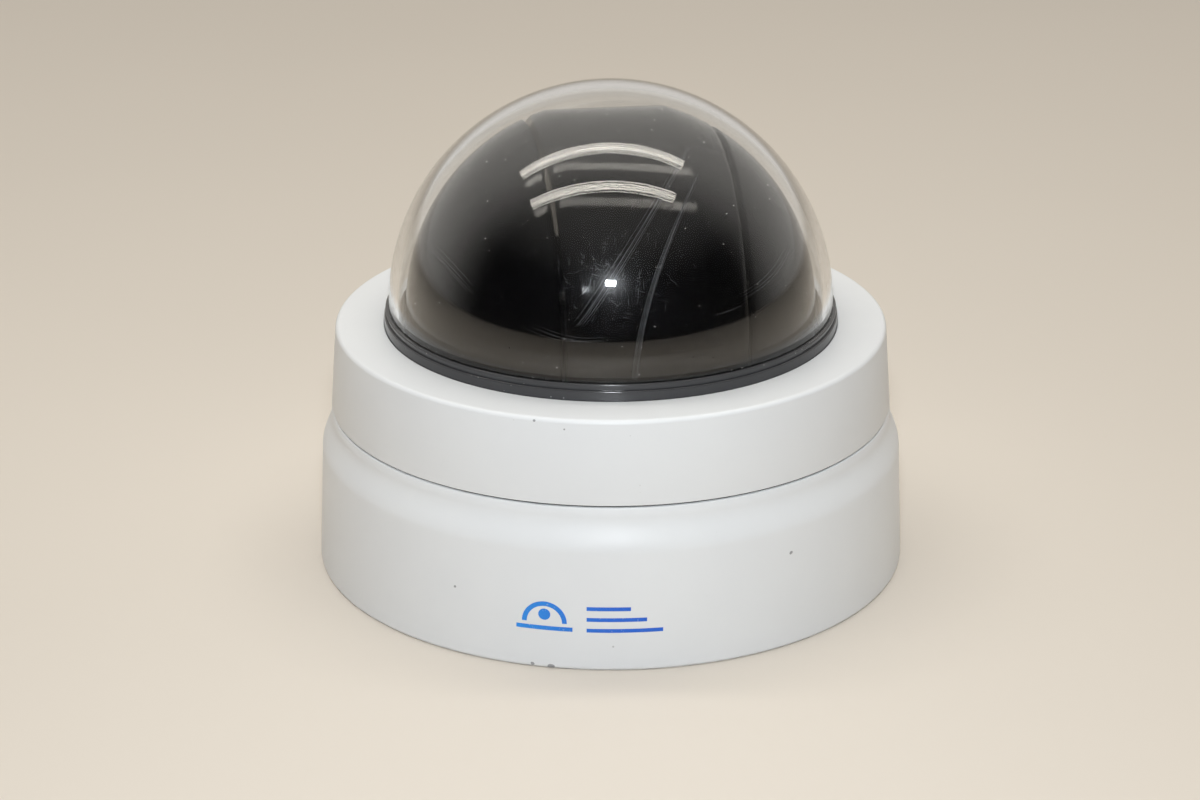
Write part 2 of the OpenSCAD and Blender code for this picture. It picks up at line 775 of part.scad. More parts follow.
// Closed loop round two circles on the Y axis: radius ra at the origin, rb at distance d
function belt_loop(ra, rb, d) = let (lean = asin((ra - rb) / d))
    concat(arc(0, 0, ra, 90 - lean, 270 + lean, 36), arc(d, 0, rb, -90 + lean, 90 - lean, 18));

module tilt_belt() {
    gap = 0.1;
    thick = 1;
    color(black) in_ball() translate([belt_x0 + 0.2, 0, 0]) rotate([0, 90, 0]) linear_extrude(belt_w - 0.4)
        difference() {
            polygon(belt_loop(pulley_r + gap + thick, motor_pulley_r + gap + thick, belt_centres));
            polygon(belt_loop(pulley_r + gap, motor_pulley_r + gap, belt_centres));
        }
}

// Board behind the right arm that carries the camera's signals
module yoke_board() {
    x0 = arm_right + 4;
    color([0.05, 0.3, 0.15]) in_ball() {
        difference() {
            block([x0, -15, -12], [x0 + 1.6, 15, 22]);
            for (y = [-12.5, 12.5]) for (z = [-9.5, 19.5])
                translate([0, y, z]) bar_x(x0 - 1, x0 + 3, 1);
        }
        block([x0 + 1.5, -6, -6], [x0 + 3, 6, 6]);
        block([x0 + 1.5, -8, 12], [x0 + 5, 8, 17]);
        for (y = [-11, 11]) translate([0, y, -9.5]) bar_x(arm_right, x0 + 0.1, 2);
    }
}

// ---------- drum ----------

// Outline of the drum about its axis, [radius, x], shrunk by inset on every side
function drum_outline(inset) = let (r = ball_r - inset, edge = acos((band_r - inset) / r),
        a0 = asin((drum_x0 + inset * 0.75) / r), a1 = asin((drum_x1 - inset * 0.75) / r))
    concat([[0, r * sin(a0)]], arc(0, 0, r, a0, -edge, 6), arc(0, 0, r, edge, a1, 8), [[0, r * sin(a1)]]);

module drum_solid(inset) {
    rotate([0, 90, 0]) rotate_extrude($fn = 180) polygon(drum_outline(inset));
}

boss_places = [[-10, 42], [17.2, 42], [-10, -42], [17.2, -42]];
window_r = 16;

// Half of the drum's shell: side 1 holds the window, side -1 is the rear
module drum_half(side) {
    gap = 0.1;
    color(black) in_drum() difference() {
        union() {
            difference() {
                drum_solid(0);
                drum_solid(ball_wall);
            }
            intersection() {
                drum_solid(1);
                for (p = boss_places) translate([p[0], 0, p[1]])
                    bar_y(side > 0 ? 0 : -40, side > 0 ? 40 : 0, 3.2);
            }
        }
        if (side > 0) block([-80, -80, -80], [80, gap, 80]);
        else block([-80, -gap, -80], [80, 80, 80]);
        bar_x(-40, 40, shaft_r + touch);
        if (side > 0) {
            translate([drum_mid, 0, 0]) bar_y(30, 60, window_r);
            for (p = boss_places) translate([p[0], 0, p[1]]) bar_y(-1, 12, 1.25 + touch);
        } else for (p = boss_places) translate([p[0], 0, p[1]]) {
            bar_y(-60, -8, 2.3);
            bar_y(-10, 1, 1.25 + touch);
        }
    }
}

module drum_front() {
    drum_half(1);
}

module drum_rear() {
    drum_half(-1);
}

module drum_screws() {
    color(steel) in_drum() for (p = boss_places) translate([p[0], -8, p[1]]) rotate([90, 0, 0])
        screw(2.1, 1.8, 1.25, 18);
}

module tilt_shaft_left() {
    color(steel) in_drum() {
        bar_x(belt_x0 - 1.4, bracket_x0 + 2, shaft_r);
        bar_x(bracket_x0 + 1.5 + touch, bracket_x0 + 2.7, collar_r);
    }
}

module tilt_shaft_right() {
    color(steel) in_drum() {
        bar_x(bracket_x1 - 2, arm_right + 2.2, shaft_r);
        bar_x(bracket_x1 - 2.7, bracket_x1 - 1.5 - touch, collar_r);
    }
}

// ---------- camera ----------

bracket_x0 = drum_x0 + 1.7;
bracket_x1 = drum_x1 - 1.7;
camera_half = 16.5;
camera_y0 = -24;
camera_y1 = 28;
camera_h = 18;

module camera_bracket() {
    color(steel) in_drum() difference() {
        union() {
            block([bracket_x0, -18, -20.5], [bracket_x0 + 1.5, 18, 14]);
            block([bracket_x1 - 1.5, -18, -20.5], [bracket_x1, 18, 14]);
            block([bracket_x0, -18, -20.5], [bracket_x1, 18, -19]);
        }
        bar_x(bracket_x0 - 1, bracket_x1 + 1, shaft_r + touch);
        for (y = [-10, 10]) translate([drum_mid, y, -25]) cylinder(h = 10, r = 1.6);
    }
}

module camera_body() {
    color([0.16, 0.16, 0.17]) on_lens() difference() {
        union() {
            block([-camera_half, camera_y0, -camera_h], [camera_half, camera_y1, camera_h]);
            for (y = [-10, 10]) translate([0, y, -19]) cylinder(h = 2, r = 4);
            bar_y(camera_y1 - 0.1, camera_y1 + 4, 16);
        }
        block([-camera_half + 1.5, camera_y0 + 1.5, -camera_h + 1.5],
              [camera_half - 1.5, camera_y1 - 1.5, camera_h - 1.5]);
        bar_y(camera_y1 - 5, camera_y1 + 10, 13.6);
        for (x = [-9, 0, 9]) block([x - 2.5, camera_y0 - 1, 8], [x + 2.5, camera_y0 + 3, 10]);
    }
}

module sensor_board() {
    color([0.05, 0.3, 0.15]) on_lens() {
        difference() {
            block([-14, -6.6, -15.5], [14, -5, 15.5]);
            for (x = [-10, 10]) translate([x, 0, 0]) bar_y(-9, 5, 1);
        }
        block([-5.5, -5.1, -4.5], [5.5, -3.4, 4.5]);
        block([-10, -12, -14], [10, -6.5, -9]);
    }
}

// Frame with two filter windows that slides down across the sensor
module filter_slide() {
    color([0.35, 0.35, 0.4]) on_lens() difference() {
        block([-6.8, -1.4, -6], [6.8, -0.4, 15]);
        for (z = [0, 9]) translate([0, 0, z]) bar_y(-2, -0.8, 4);
    }
}

rod_r = 0.8;
rod_at = 9.9;

// Fixed tube with two guide rods, on which the zoom and focus groups slide
module lens_barrel() {
    color(black) on_lens() {
        difference() {
            union() {
                bar_y(2, 45, 13.5);
                bar_y(1.2, 3.5, 15);
            }
            bar_y(3.5, 41, 12);
            bar_y(0, 4, 6);
            bar_y(40, 44, 11.6);
            bar_y(43.5, 46, 12.4);
        }
        for (x = [-rod_at, rod_at]) translate([x, 0, 0]) bar_y(3, 38, rod_r);
        for (x = [-1, 1]) block([min(x * 7, x * 8.2), -2.2, -12], [max(x * 7, x * 8.2), 1.3, 12]);
        for (x = [-rod_at, rod_at]) translate([x, 0, 0]) intersection() {
            bar_y(36.5, 38, 3);
            translate([-x, 0, 0]) bar_y(36, 39, 12.4);
        }
    }
}

module lens_hood() {
    color([0.1, 0.1, 0.11]) on_lens() rotate([-90, 0, 0]) rotate_extrude()
        polygon([[13.5 + touch, 40], [15.4, 40], [window_r - touch, 46], [window_r - touch, 49.2],
                 [15.2, 50.4], [14.6, 49.8], [13.5 + touch, 45.5]]);
}

// Glass disc with two bulging faces: radius r, along Y from y0, thickness t, bulge b
function lens_outline(r, t, b) = let (big = (r * r + b * b) / (2 * b), half = asin(r / big)) concat(
    [for (i = [0 : 8]) let (a = half * i / 8) [big * sin(a), t + b - big + big * cos(a)]],
    [for (i = [8 : -1 : 0]) let (a = half * i / 8) [big * sin(a), big - b - big * cos(a)]]);

module glass(r, y0, t, b) {
    translate([0, y0, 0]) rotate([-90, 0, 0]) rotate_extrude() polygon(lens_outline(r, t, b));
}

module front_lens() {
    color([0.5, 0.6, 0.8, 0.5]) on_lens() glass(11.5, 41.1, 1.5, 1.1);
}

// Ring that holds a moving lens and runs on the two rods
module lens_group(y0, depth, glass_r, bulge) {
    on_lens() {
        difference() {
            bar_y(y0, y0 + depth, 11.6);
            bar_y(y0 - 1, y0 + depth + 1, glass_r - 0.3);
            for (x = [-rod_at, rod_at]) translate([x, 0, 0]) bar_y(y0 - 1, y0 + depth + 1, rod_r + slip);
        }
        glass(glass_r, y0 + depth / 2 - 0.6, 1.2, bulge);
    }
}

module zoom_group() {
    color([0.35, 0.35, 0.4]) lens_group(18, 4, 8, 0.9);
}

module focus_group() {
    color([0.35, 0.35, 0.4]) lens_group(6, 4, 6.5, 0.8);
}

// ---------- assembly ----------

housing_base();
cable_grommet();
seam_seal();
cover_ring();
clear_dome();
dome_gasket();
dome_clamp_ring();
clamp_screws();
cover_set_screws();
chassis_plate();
chassis_screws();
pan_bearing_outer();
slip_ring_stator();
main_board();
board_screws();
cable_terminals();
board_sockets();
capacitors();
processor_chips();
address_switch_bodies();
address_dial_tens();
address_dial_units();
pan_motor_bracket();
pan_motor_body();
pan_motor_screws();
pan_motor_shaft();
pan_pinion();
pan_gear();
pan_gear_screws();
yoke();
pan_bearing_inner();
pan_retaining_clip();
slip_ring_rotor();
side_cover_left();
side_cover_right();
side_cover_screws();
tilt_bearing_outers();
tilt_motor_bracket();
tilt_motor_body();
tilt_motor_screws();
tilt_belt();
yoke_board();
tilt_motor_shaft();
tilt_motor_pulley();
drum_front();
drum_rear();
drum_screws();
tilt_shaft_left();
tilt_shaft_right();
tilt_bearing_inners();
tilt_pulley();
camera_bracket();
camera_body();
sensor_board();
lens_barrel();
lens_hood();
front_lens();
zoom_group();
focus_group();
filter_slide();
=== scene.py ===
# %% [markdown]
# # A dome camera that pans, tilts and zooms
# The real object is a small surveillance camera that stands here on the face that normally meets a ceiling.
# A satin white housing in two parts carries a dark trim ring and a clear bubble. Under the bubble sits a
# glossy black ball whose middle band, a drum, tilts to point the lens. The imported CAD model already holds
# every piece at its real size, so this notebook reads all places from it and adds the surfaces that an eye
# judges: smooth turned shells, thin edges, dust, scratches and finishes.

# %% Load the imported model
import json
import math
import random

import bpy
from mathutils import Euler, Matrix, Vector


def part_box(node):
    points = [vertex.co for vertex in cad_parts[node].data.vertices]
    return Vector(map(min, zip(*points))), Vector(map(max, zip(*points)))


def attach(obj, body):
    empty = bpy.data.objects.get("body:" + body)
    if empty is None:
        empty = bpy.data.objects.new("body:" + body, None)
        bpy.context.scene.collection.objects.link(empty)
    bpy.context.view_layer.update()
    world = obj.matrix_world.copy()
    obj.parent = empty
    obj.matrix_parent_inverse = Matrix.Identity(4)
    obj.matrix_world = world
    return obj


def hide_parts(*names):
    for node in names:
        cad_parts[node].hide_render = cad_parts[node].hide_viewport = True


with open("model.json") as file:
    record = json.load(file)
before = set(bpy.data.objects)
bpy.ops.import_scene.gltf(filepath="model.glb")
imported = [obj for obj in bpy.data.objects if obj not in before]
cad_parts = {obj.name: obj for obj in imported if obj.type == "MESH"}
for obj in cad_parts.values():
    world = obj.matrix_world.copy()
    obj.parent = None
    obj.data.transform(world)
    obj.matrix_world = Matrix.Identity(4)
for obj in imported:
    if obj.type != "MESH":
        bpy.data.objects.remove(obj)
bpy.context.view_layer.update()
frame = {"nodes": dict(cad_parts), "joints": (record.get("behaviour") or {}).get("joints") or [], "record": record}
MM = 0.001

# %% [markdown]
# ## Where things are
# A handful of boxes gives every height and radius that the new pieces need. The joints give the ball's
# centre, the axis that its drum tilts about, and the direction in which the lens looks. Reading them from
# the model means that a change in the CAD moves the looks with it.

# %% Read the main places
def low(node):
    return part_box(node)[0]


def high(node):
    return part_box(node)[1]


joints = {joint["name"]: joint for joint in frame["joints"]}
ball_centre = Vector(joints["tilt"]["pos_m"])
tilt_axis = Vector(joints["tilt"]["axis"]).normalized()
lens_axis = Vector(joints["zoom_travel"]["axis"]).normalized()
drum_up = tilt_axis.cross(lens_axis).normalized()

foot_radius = high("housing_base").x
seam_height = low("cover_ring").z
face_height = high("cover_ring").z
trim_height = high("dome_gasket").z
dome_radius = 58.3 * MM
dome_centre = Vector((0, 0, high("clear_dome").z - dome_radius))
print("seam", round(seam_height / MM, 2), "face", round(face_height / MM, 2), "mm")
print("dome centre", round(dome_centre.z / MM, 2), "ball centre", round(ball_centre.z / MM, 2), "mm")

# %% [markdown]
# ## The camera
# It looks down on the housing from about 22 degrees, from a little under a metre away, through a long lens.
# A long lens keeps the two rims nearly parallel. The camera comes before anything else, because every later
# choice of detail depends on what it sees.

# %% Place the camera
look_at = Vector((0, 0, 41.4 * MM))
camera_elevation = math.radians(21.94)
camera_distance = 891.25 * MM
sensor_width = 36
lens_length = 100.5
sideways_shift = -0.009
toward_camera = Vector((0, -math.cos(camera_elevation), math.sin(camera_elevation)))

bpy.ops.object.camera_add(location=look_at + toward_camera * camera_distance)
camera = bpy.context.object
camera.name = "view_camera"
camera.rotation_euler = (-toward_camera).to_track_quat("-Z", "Y").to_euler()
camera.data.sensor_width = sensor_width
camera.data.lens = lens_length
camera.data.shift_x = sideways_shift
bpy.context.scene.camera = camera
print("camera at", [round(value, 3) for value in camera.location])

# %% [markdown]
# ## Tools for making pieces by hand
# Nearly every part of this camera is turned, as if on a lathe. The quickest way to turn a shape is to draw
# half of its section as a chain of points and spin that chain once round the axis. The chain starts from a
# plane whose corners are merged to one point, which is then extruded along the section. Doubles are merged
# before the normals are set, because a spin leaves its first and last copies on top of each other.

# %% Selection and modifiers
def deselect():
    bpy.ops.object.select_all(action="DESELECT")


def pick(piece):
    deselect()
    piece.select_set(True)
    bpy.context.view_layer.objects.active = piece


def named(name):
    piece = bpy.context.object
    piece.name = name
    piece.data.name = name
    return piece


def modify(piece, kind, **settings):
    """Adds a modifier, sets it up and applies it."""
    pick(piece)
    modifier = piece.modifiers.new(kind.title(), kind)
    for key, value in settings.items():
        setattr(modifier, key, value)
    bpy.ops.object.modifier_apply(modifier=modifier.name)


def smooth(piece, degrees=32):
    pick(piece)
    bpy.ops.object.shade_smooth_by_angle(angle=math.radians(degrees))


# %% The lathe
merge_distance = 0.003 * MM


def first_point(name, place):
    """A piece that is one point at place, made from a tiny plane and left open for editing."""
    deselect()
    bpy.ops.mesh.primitive_plane_add(size=MM)
    piece = named(name)
    bpy.ops.object.mode_set(mode="EDIT")
    bpy.ops.mesh.merge(type="CENTER")
    bpy.ops.transform.translate(value=place)
    return piece


def bend(centre, radius, first, last, steps=8):
    """Points round part of a circle in a section, angles in degrees from the outward direction."""
    angles = [math.radians(first + (last - first) * step / steps) for step in range(steps + 1)]
    return [(centre[0] + radius * math.cos(a), centre[1] + radius * math.sin(a)) for a in angles]


def turn(name, section, centre=(0, 0, 0), axis=(0, 0, 1), across=(1, 0, 0), steps=192):
    """Spins a section, a list of (distance from the axis, distance along it), once round the axis."""
    centre, axis, across = Vector(centre), Vector(axis), Vector(across)
    places = [centre + across * out + axis * along for out, along in section]
    piece = first_point(name, places[0])
    for here, there in zip(places, places[1:]):
        bpy.ops.mesh.extrude_vertices_move(TRANSFORM_OT_translate={"value": there - here})
    bpy.ops.mesh.select_all(action="SELECT")
    bpy.ops.mesh.spin(steps=steps, angle=2 * math.pi, center=centre, axis=axis)
    bpy.ops.mesh.select_all(action="SELECT")
    bpy.ops.mesh.remove_doubles(threshold=merge_distance)
    bpy.ops.mesh.normals_make_consistent(inside=False)
    bpy.ops.object.mode_set(mode="OBJECT")
    smooth(piece)
    return piece


def cut_away(piece, point, normal):
    """Removes what lies beyond the plane through point, on the side that normal points to."""
    pick(piece)
    bpy.ops.object.mode_set(mode="EDIT")
    bpy.ops.mesh.select_all(action="SELECT")
    bpy.ops.mesh.bisect(plane_co=point, plane_no=normal, clear_outer=True)
    bpy.ops.object.mode_set(mode="OBJECT")


def bore(piece, cutter):
    """Takes the cutter's shape out of the piece, then throws the cutter away."""
    modify(piece, "BOOLEAN", object=cutter, operation="DIFFERENCE", solver="EXACT")
    bpy.data.objects.remove(cutter)


# %% Copies that are joined
def block(name, size, place, edge=0.08):
    """A small box with bevelled edges, its middle at place, sizes in millimetres."""
    deselect()
    bpy.ops.mesh.primitive_cube_add(size=1)
    piece = named(name)
    piece.scale = [value * MM for value in size]
    piece.location = place
    bpy.ops.object.transform_apply()
    modify(piece, "BEVEL", width=edge * MM, segments=1, limit_method="ANGLE")
    return piece


def copied(piece, place, turned, scale=None):
    """A copy with its own mesh, turned about Z, scaled and moved to place, all of it put into the mesh."""
    twin = bpy.data.objects.new(piece.name, piece.data.copy())
    bpy.context.collection.objects.link(twin)
    twin.data.transform(Matrix.LocRotScale(place, Euler((0, 0, turned)), scale))
    return twin


def gather(name, pieces, pattern=None):
    """Joins pieces into one, and throws away the pattern that they were copied from."""
    if pattern:
        bpy.data.objects.remove(pattern)
    pick(pieces[0])
    for piece in pieces:
        piece.select_set(True)
    bpy.ops.object.join()
    return named(name)


def show(piece):
    print(piece.name, len(piece.data.polygons), "faces,", [round(d / MM, 1) for d in piece.dimensions], "mm")


# %% [markdown]
# ## Tools for finishes
# Every finish is a Principled shader whose inputs are fed by small procedural patterns in object space, so
# no image files are needed. Values that are the same all over a surface are typed into the shader's own
# sockets, and only those that vary are wired.

# %% The finish builder
class Finish:
    """One material under construction."""

    def __init__(self, name, **sockets):
        self.material = bpy.data.materials.new(name)
        self.material.use_nodes = True
        self.tree = self.material.node_tree
        self.shader = self.tree.nodes["Principled BSDF"]
        for socket, value in sockets.items():
            self.shader.inputs[socket.replace("_", " ")].default_value = value
        self.place = self.tree.nodes.new("ShaderNodeTexCoord").outputs["Object"]

    def node(self, kind, inputs, out=0, **settings):
        """Adds a node; inputs maps a socket's name or number to a value or to another node's output."""
        node = self.tree.nodes.new("ShaderNode" + kind)
        for key, value in settings.items():
            setattr(node, key, value)
        for key, value in inputs.items():
            if isinstance(value, bpy.types.NodeSocket):
                self.tree.links.new(value, node.inputs[key])
            else:
                node.inputs[key].default_value = value
        return node.outputs[out]

    def math(self, operation, first, second=0.0, third=0.0):
        return self.node("Math", {0: first, 1: second, 2: third}, operation=operation)

    def noise(self, scale, detail=3.0, place=None):
        return self.node("TexNoise", {"Vector": place or self.place, "Scale": scale, "Detail": detail})

    def ramp(self, value, start, end, low=0.0, high=1.0):
        """Maps value from start..end to low..high, smoothly and without going past either."""
        inputs = {"Value": value, "From Min": start, "From Max": end, "To Min": low, "To Max": high}
        return self.node("MapRange", inputs, interpolation_type="SMOOTHSTEP")

    def specks(self, scale, size, share):
        """Small round spots scattered through space: 1 inside a spot. Share is how many cells hold one."""
        cells = self.tree.nodes.new("ShaderNodeTexVoronoi")
        cells.inputs["Scale"].default_value = scale
        self.tree.links.new(self.place, cells.inputs["Vector"])
        spot = self.ramp(cells.outputs["Distance"], size, size * 0.6)
        kept = self.math("LESS_THAN", self.node("SeparateColor", {0: cells.outputs["Color"]}), share)
        return self.math("MULTIPLY", spot, kept)

    def spot(self, place, radius):
        """1 inside one small ragged spot at a given place."""
        gap = self.node("VectorMath", {0: self.place, 1: place}, out=1, operation="DISTANCE")
        ragged = self.math("ADD", gap, self.math("MULTIPLY", self.noise(1300.0), radius * 1.2))
        return self.ramp(ragged, radius * 1.6, radius * 1.35)

    def mix(self, share, first, second):
        """Blends two colours; either may be a tuple or another node's output."""
        node = self.tree.nodes.new("ShaderNodeMix")
        node.data_type = "RGBA"
        for socket, value in ((0, share), (6, first), (7, second)):
            if isinstance(value, bpy.types.NodeSocket):
                self.tree.links.new(value, node.inputs[socket])
            else:
                node.inputs[socket].default_value = value
        return node.outputs[2]

    def feed(self, **sockets):
        for socket, value in sockets.items():
            self.tree.links.new(value, self.shader.inputs[socket.replace("_", " ")])
        return self

    def bump(self, height, strength, distance):
        inputs = {"Strength": strength, "Distance": distance, "Height": height}
        return self.feed(Normal=self.node("Bump", inputs))


def rgb(red, green, blue):
    return (red, green, blue, 1.0)


# %% [markdown]
# ## Satin white housing
# The housing is light satin white with an almost invisible orange-peel skin. It has been handled: there are
# a few pinhead specks, a soft grey unevenness and a slightly duller patch here and there. A broad noise
# tints the colour, a fine noise raises the skin, and two scales of specks carry the dirt. The few nicks that
# an owner would remember have places of their own, given by angle from the front and by height.

# %% Housing finish
def on_wall(degrees, height, radius):
    """A place on the housing: degrees from the front towards the right, height and radius in millimetres."""
    turned = math.radians(degrees)
    return (radius * math.sin(turned) * MM, -radius * math.cos(turned) * MM, height * MM)


nicks = [(on_wall(-11, 0.5, 77.6), 1.0 * MM), (on_wall(-14.5, 0.9, 77.9), 0.55 * MM)]
nicks += [(on_wall(36, 25.3, 77.0), 0.55 * MM), (on_wall(-30.3, 18, 77.2), 0.35 * MM)]
nicks += [(on_wall(-15, 64.2, 72.4), 0.4 * MM), (on_wall(-9, 62.5, 72.5), 0.25 * MM)]


def housing_white(name):
    finish = Finish(name, IOR=1.46, Coat_Weight=0.04, Coat_Roughness=0.3)
    cloud = finish.noise(18.0, 4.0)
    color = finish.mix(finish.ramp(cloud, 0.3, 0.75), rgb(0.735, 0.75, 0.765), rgb(0.77, 0.785, 0.795))
    specks = finish.specks(150.0, 0.05, 0.10)
    grime = finish.math("MULTIPLY", specks, finish.ramp(finish.noise(9.0), 0.5, 0.62))
    color = finish.mix(finish.math("MULTIPLY", grime, 0.75), color, rgb(0.16, 0.15, 0.14))
    dust = finish.specks(420.0, 0.09, 0.05)
    color = finish.mix(finish.math("MULTIPLY", dust, 0.22), color, rgb(0.3, 0.28, 0.26))
    worn = grime
    for place, radius in nicks:
        nick = finish.spot(place, radius)
        color = finish.mix(finish.math("MULTIPLY", nick, 0.8), color, rgb(0.2, 0.2, 0.21))
        worn = finish.math("MAXIMUM", worn, nick)
    skin = finish.math("ADD", finish.noise(1500.0, 2.0), finish.math("MULTIPLY", worn, -2.0))
    finish.feed(Base_Color=color, Roughness=finish.ramp(finish.noise(55.0, 5.0), 0.3, 0.7, 0.36, 0.46))
    return finish.bump(skin, 0.05, 0.05 * MM).material


white_shell = housing_white("satin_white")
print(white_shell.name, len(white_shell.node_tree.nodes), "nodes")

# %% [markdown]
# ## Dark plastics and rubber
# The trim ring is dark grey and glossy, with grey dust that settles in a thin broken layer. The ball is a
# smooth deep black, with a faint long ripple that makes reflections waver. Inner mouldings are matt.
# They differ only in colour, gloss and how much dust they hold, so one function makes them all.

# %% Dark finishes
def dark_plastic(name, color, roughness, dust_amount, ripple, grain, gloss=0.5):
    finish = Finish(name, IOR=1.5, Specular_IOR_Level=gloss)
    dust = finish.math("MULTIPLY", finish.specks(600.0, 0.12, 0.12), dust_amount)
    film = finish.math("MULTIPLY", finish.ramp(finish.noise(30.0, 5.0), 0.45, 0.8), dust_amount * 0.12)
    cover = finish.math("ADD", dust, film)
    finish.feed(Base_Color=finish.mix(cover, rgb(*color), rgb(0.42, 0.41, 0.4)))
    finish.feed(Roughness=finish.ramp(cover, 0.0, 0.5, roughness, min(roughness + 0.35, 0.9)))
    height = finish.math("ADD", finish.noise(14.0, 1.0), finish.math("MULTIPLY", finish.noise(1100.0), grain))
    return finish.bump(height, ripple, 0.5 * MM).material


trim_dark = dark_plastic("trim_dark_gloss", (0.042, 0.042, 0.045), 0.16, 0.5, 0.02, 0.01)
ball_black = dark_plastic("ball_black_gloss", (0.003, 0.003, 0.004), 0.09, 0.1, 0.06, 0.0, gloss=0.22)
matt_black = dark_plastic("moulded_matt_black", (0.018, 0.018, 0.02), 0.5, 0.2, 0.25, 0.15)
rubber_black = dark_plastic("rubber_black", (0.02, 0.02, 0.021), 0.72, 0.35, 0.3, 0.25)
print("four dark finishes")

# %% [markdown]
# ## Clear bubble
# The bubble is a thin shell of clear plastic. Its shader is fully transmissive with the plastic's own
# refraction, so both of its faces reflect. Handling has left the surface very slightly hazy in places,
# which a noise adds to the roughness, and a weak rough coat spreads a glow round the brightest reflection.
# The scratches and dust are real pieces, made later.

# %% Bubble finish
def clear_plastic(name):
    finish = Finish(name, IOR=1.49, Transmission_Weight=1.0, Base_Color=rgb(0.985, 0.99, 0.99),
                    Coat_Weight=0.1, Coat_Roughness=0.22)
    haze = finish.ramp(finish.noise(26.0, 6.0), 0.45, 0.85, 0.0, 0.04)
    finish.feed(Roughness=haze)
    return finish.material


clear_bubble = clear_plastic("bubble_clear")
print(clear_bubble.name)

# %% [markdown]
# ## Metals
# Sheet parts are zinc plated, with the mottled sheen of a plating bath. Screws, shafts and bearing rings
# are bright turned steel, whose fine rings a stretched noise suggests. Brass is the same with another tint.

# %% Metal finishes
def metal(name, color, roughness, mottle, lines):
    finish = Finish(name, Metallic=1.0)
    patches = finish.ramp(finish.noise(mottle, 4.0), 0.3, 0.7)
    darker = tuple(value * 0.82 for value in color)
    stretched = finish.node("Mapping", {"Vector": finish.place, "Scale": (1.0, 1.0, lines)})
    brushing = finish.noise(220.0, 3.0, stretched)
    finish.feed(Base_Color=finish.mix(patches, rgb(*darker), rgb(*color)))
    finish.feed(Roughness=finish.ramp(brushing, 0.3, 0.7, roughness - 0.07, roughness + 0.1))
    return finish.bump(brushing, 0.12, 0.05 * MM).material


zinc_sheet = metal("zinc_plated_sheet", (0.62, 0.63, 0.62), 0.34, 90.0, 1.0)
turned_steel = metal("turned_steel", (0.66, 0.65, 0.64), 0.24, 200.0, 14.0)
machined_brass = metal("machined_brass", (0.74, 0.55, 0.26), 0.26, 160.0, 12.0)
print("three metals")

# %% [markdown]
# ## Boards and their parts
# A circuit board is a glass-fibre sheet under green lacquer. Copper tracks show through the lacquer as
# lighter lines on a square grid, which two wave patterns broken up by coarse cells can draw. The coloured
# mouldings on it only need a fine grain.

# %% Board and moulding finishes
def lacquered_board(name):
    finish = Finish(name, IOR=1.52, Coat_Weight=0.3, Coat_Roughness=0.2)
    blocks = finish.node("TexVoronoi", {"Vector": finish.place, "Scale": 90.0}, distance="CHEBYCHEV")
    tracks = []
    for direction in ("X", "Y"):
        wave = finish.node("TexWave", {"Vector": finish.place, "Scale": 130.0}, bands_direction=direction)
        tracks.append(finish.ramp(wave, 0.72, 0.8))
    choice = finish.math("GREATER_THAN", blocks, 0.35)
    track = finish.math("ADD", finish.math("MULTIPLY", tracks[0], choice),
                        finish.math("MULTIPLY", tracks[1], finish.math("SUBTRACT", 1.0, choice)))
    color = finish.mix(finish.math("MULTIPLY", track, 0.7), rgb(0.008, 0.075, 0.03), rgb(0.03, 0.2, 0.07))
    finish.feed(Base_Color=color, Roughness=finish.ramp(finish.noise(300.0), 0.3, 0.7, 0.28, 0.4))
    return finish.bump(track, 0.3, 0.05 * MM).material


def moulded(name, color, roughness):
    finish = Finish(name, IOR=1.47)
    shade = tuple(value * 0.85 for value in color)
    cloud = finish.ramp(finish.noise(70.0, 4.0), 0.3, 0.7)
    finish.feed(Base_Color=finish.mix(cloud, rgb(*shade), rgb(*color)))
    finish.feed(Roughness=finish.ramp(finish.noise(250.0), 0.3, 0.7, roughness - 0.06, roughness + 0.08))
    return finish.bump(finish.noise(1400.0, 2.0), 0.12, 0.05 * MM).material


def coated_glass(name):
    finish = Finish(name, IOR=1.6, Transmission_Weight=0.95, Roughness=0.02,
                    Coat_Weight=0.6, Coat_Roughness=0.02)
    facing = finish.node("LayerWeight", {"Blend": 0.35}, out=1)
    finish.feed(Base_Color=finish.mix(facing, rgb(0.62, 0.74, 0.95), rgb(0.7, 0.4, 0.85)))
    return finish.material


def printed_ink(name, first, second):
    """Screen-printed ink whose colour drifts from first to second along X."""
    finish = Finish(name, IOR=1.5)
    across = finish.node("SeparateXYZ", {"Vector": finish.place})
    drift = finish.ramp(across, -0.026, 0.004)
    worn = finish.math("MULTIPLY", finish.ramp(finish.noise(1700.0, 4.0), 0.62, 0.7), 0.35)
    ink = finish.mix(drift, rgb(*first), rgb(*second))
    finish.feed(Base_Color=finish.mix(worn, ink, rgb(0.5, 0.6, 0.72)))
    finish.feed(Roughness=finish.ramp(finish.noise(300.0), 0.3, 0.7, 0.34, 0.46))
    return finish.material


blue_ink = printed_ink("blue_print", (0.015, 0.25, 0.75), (0.01, 0.12, 0.62))
pale_scuff = moulded("pale_scuff", (0.42, 0.43, 0.45), 0.6)
pale_dust = moulded("pale_dust", (0.6, 0.58, 0.55), 0.8)

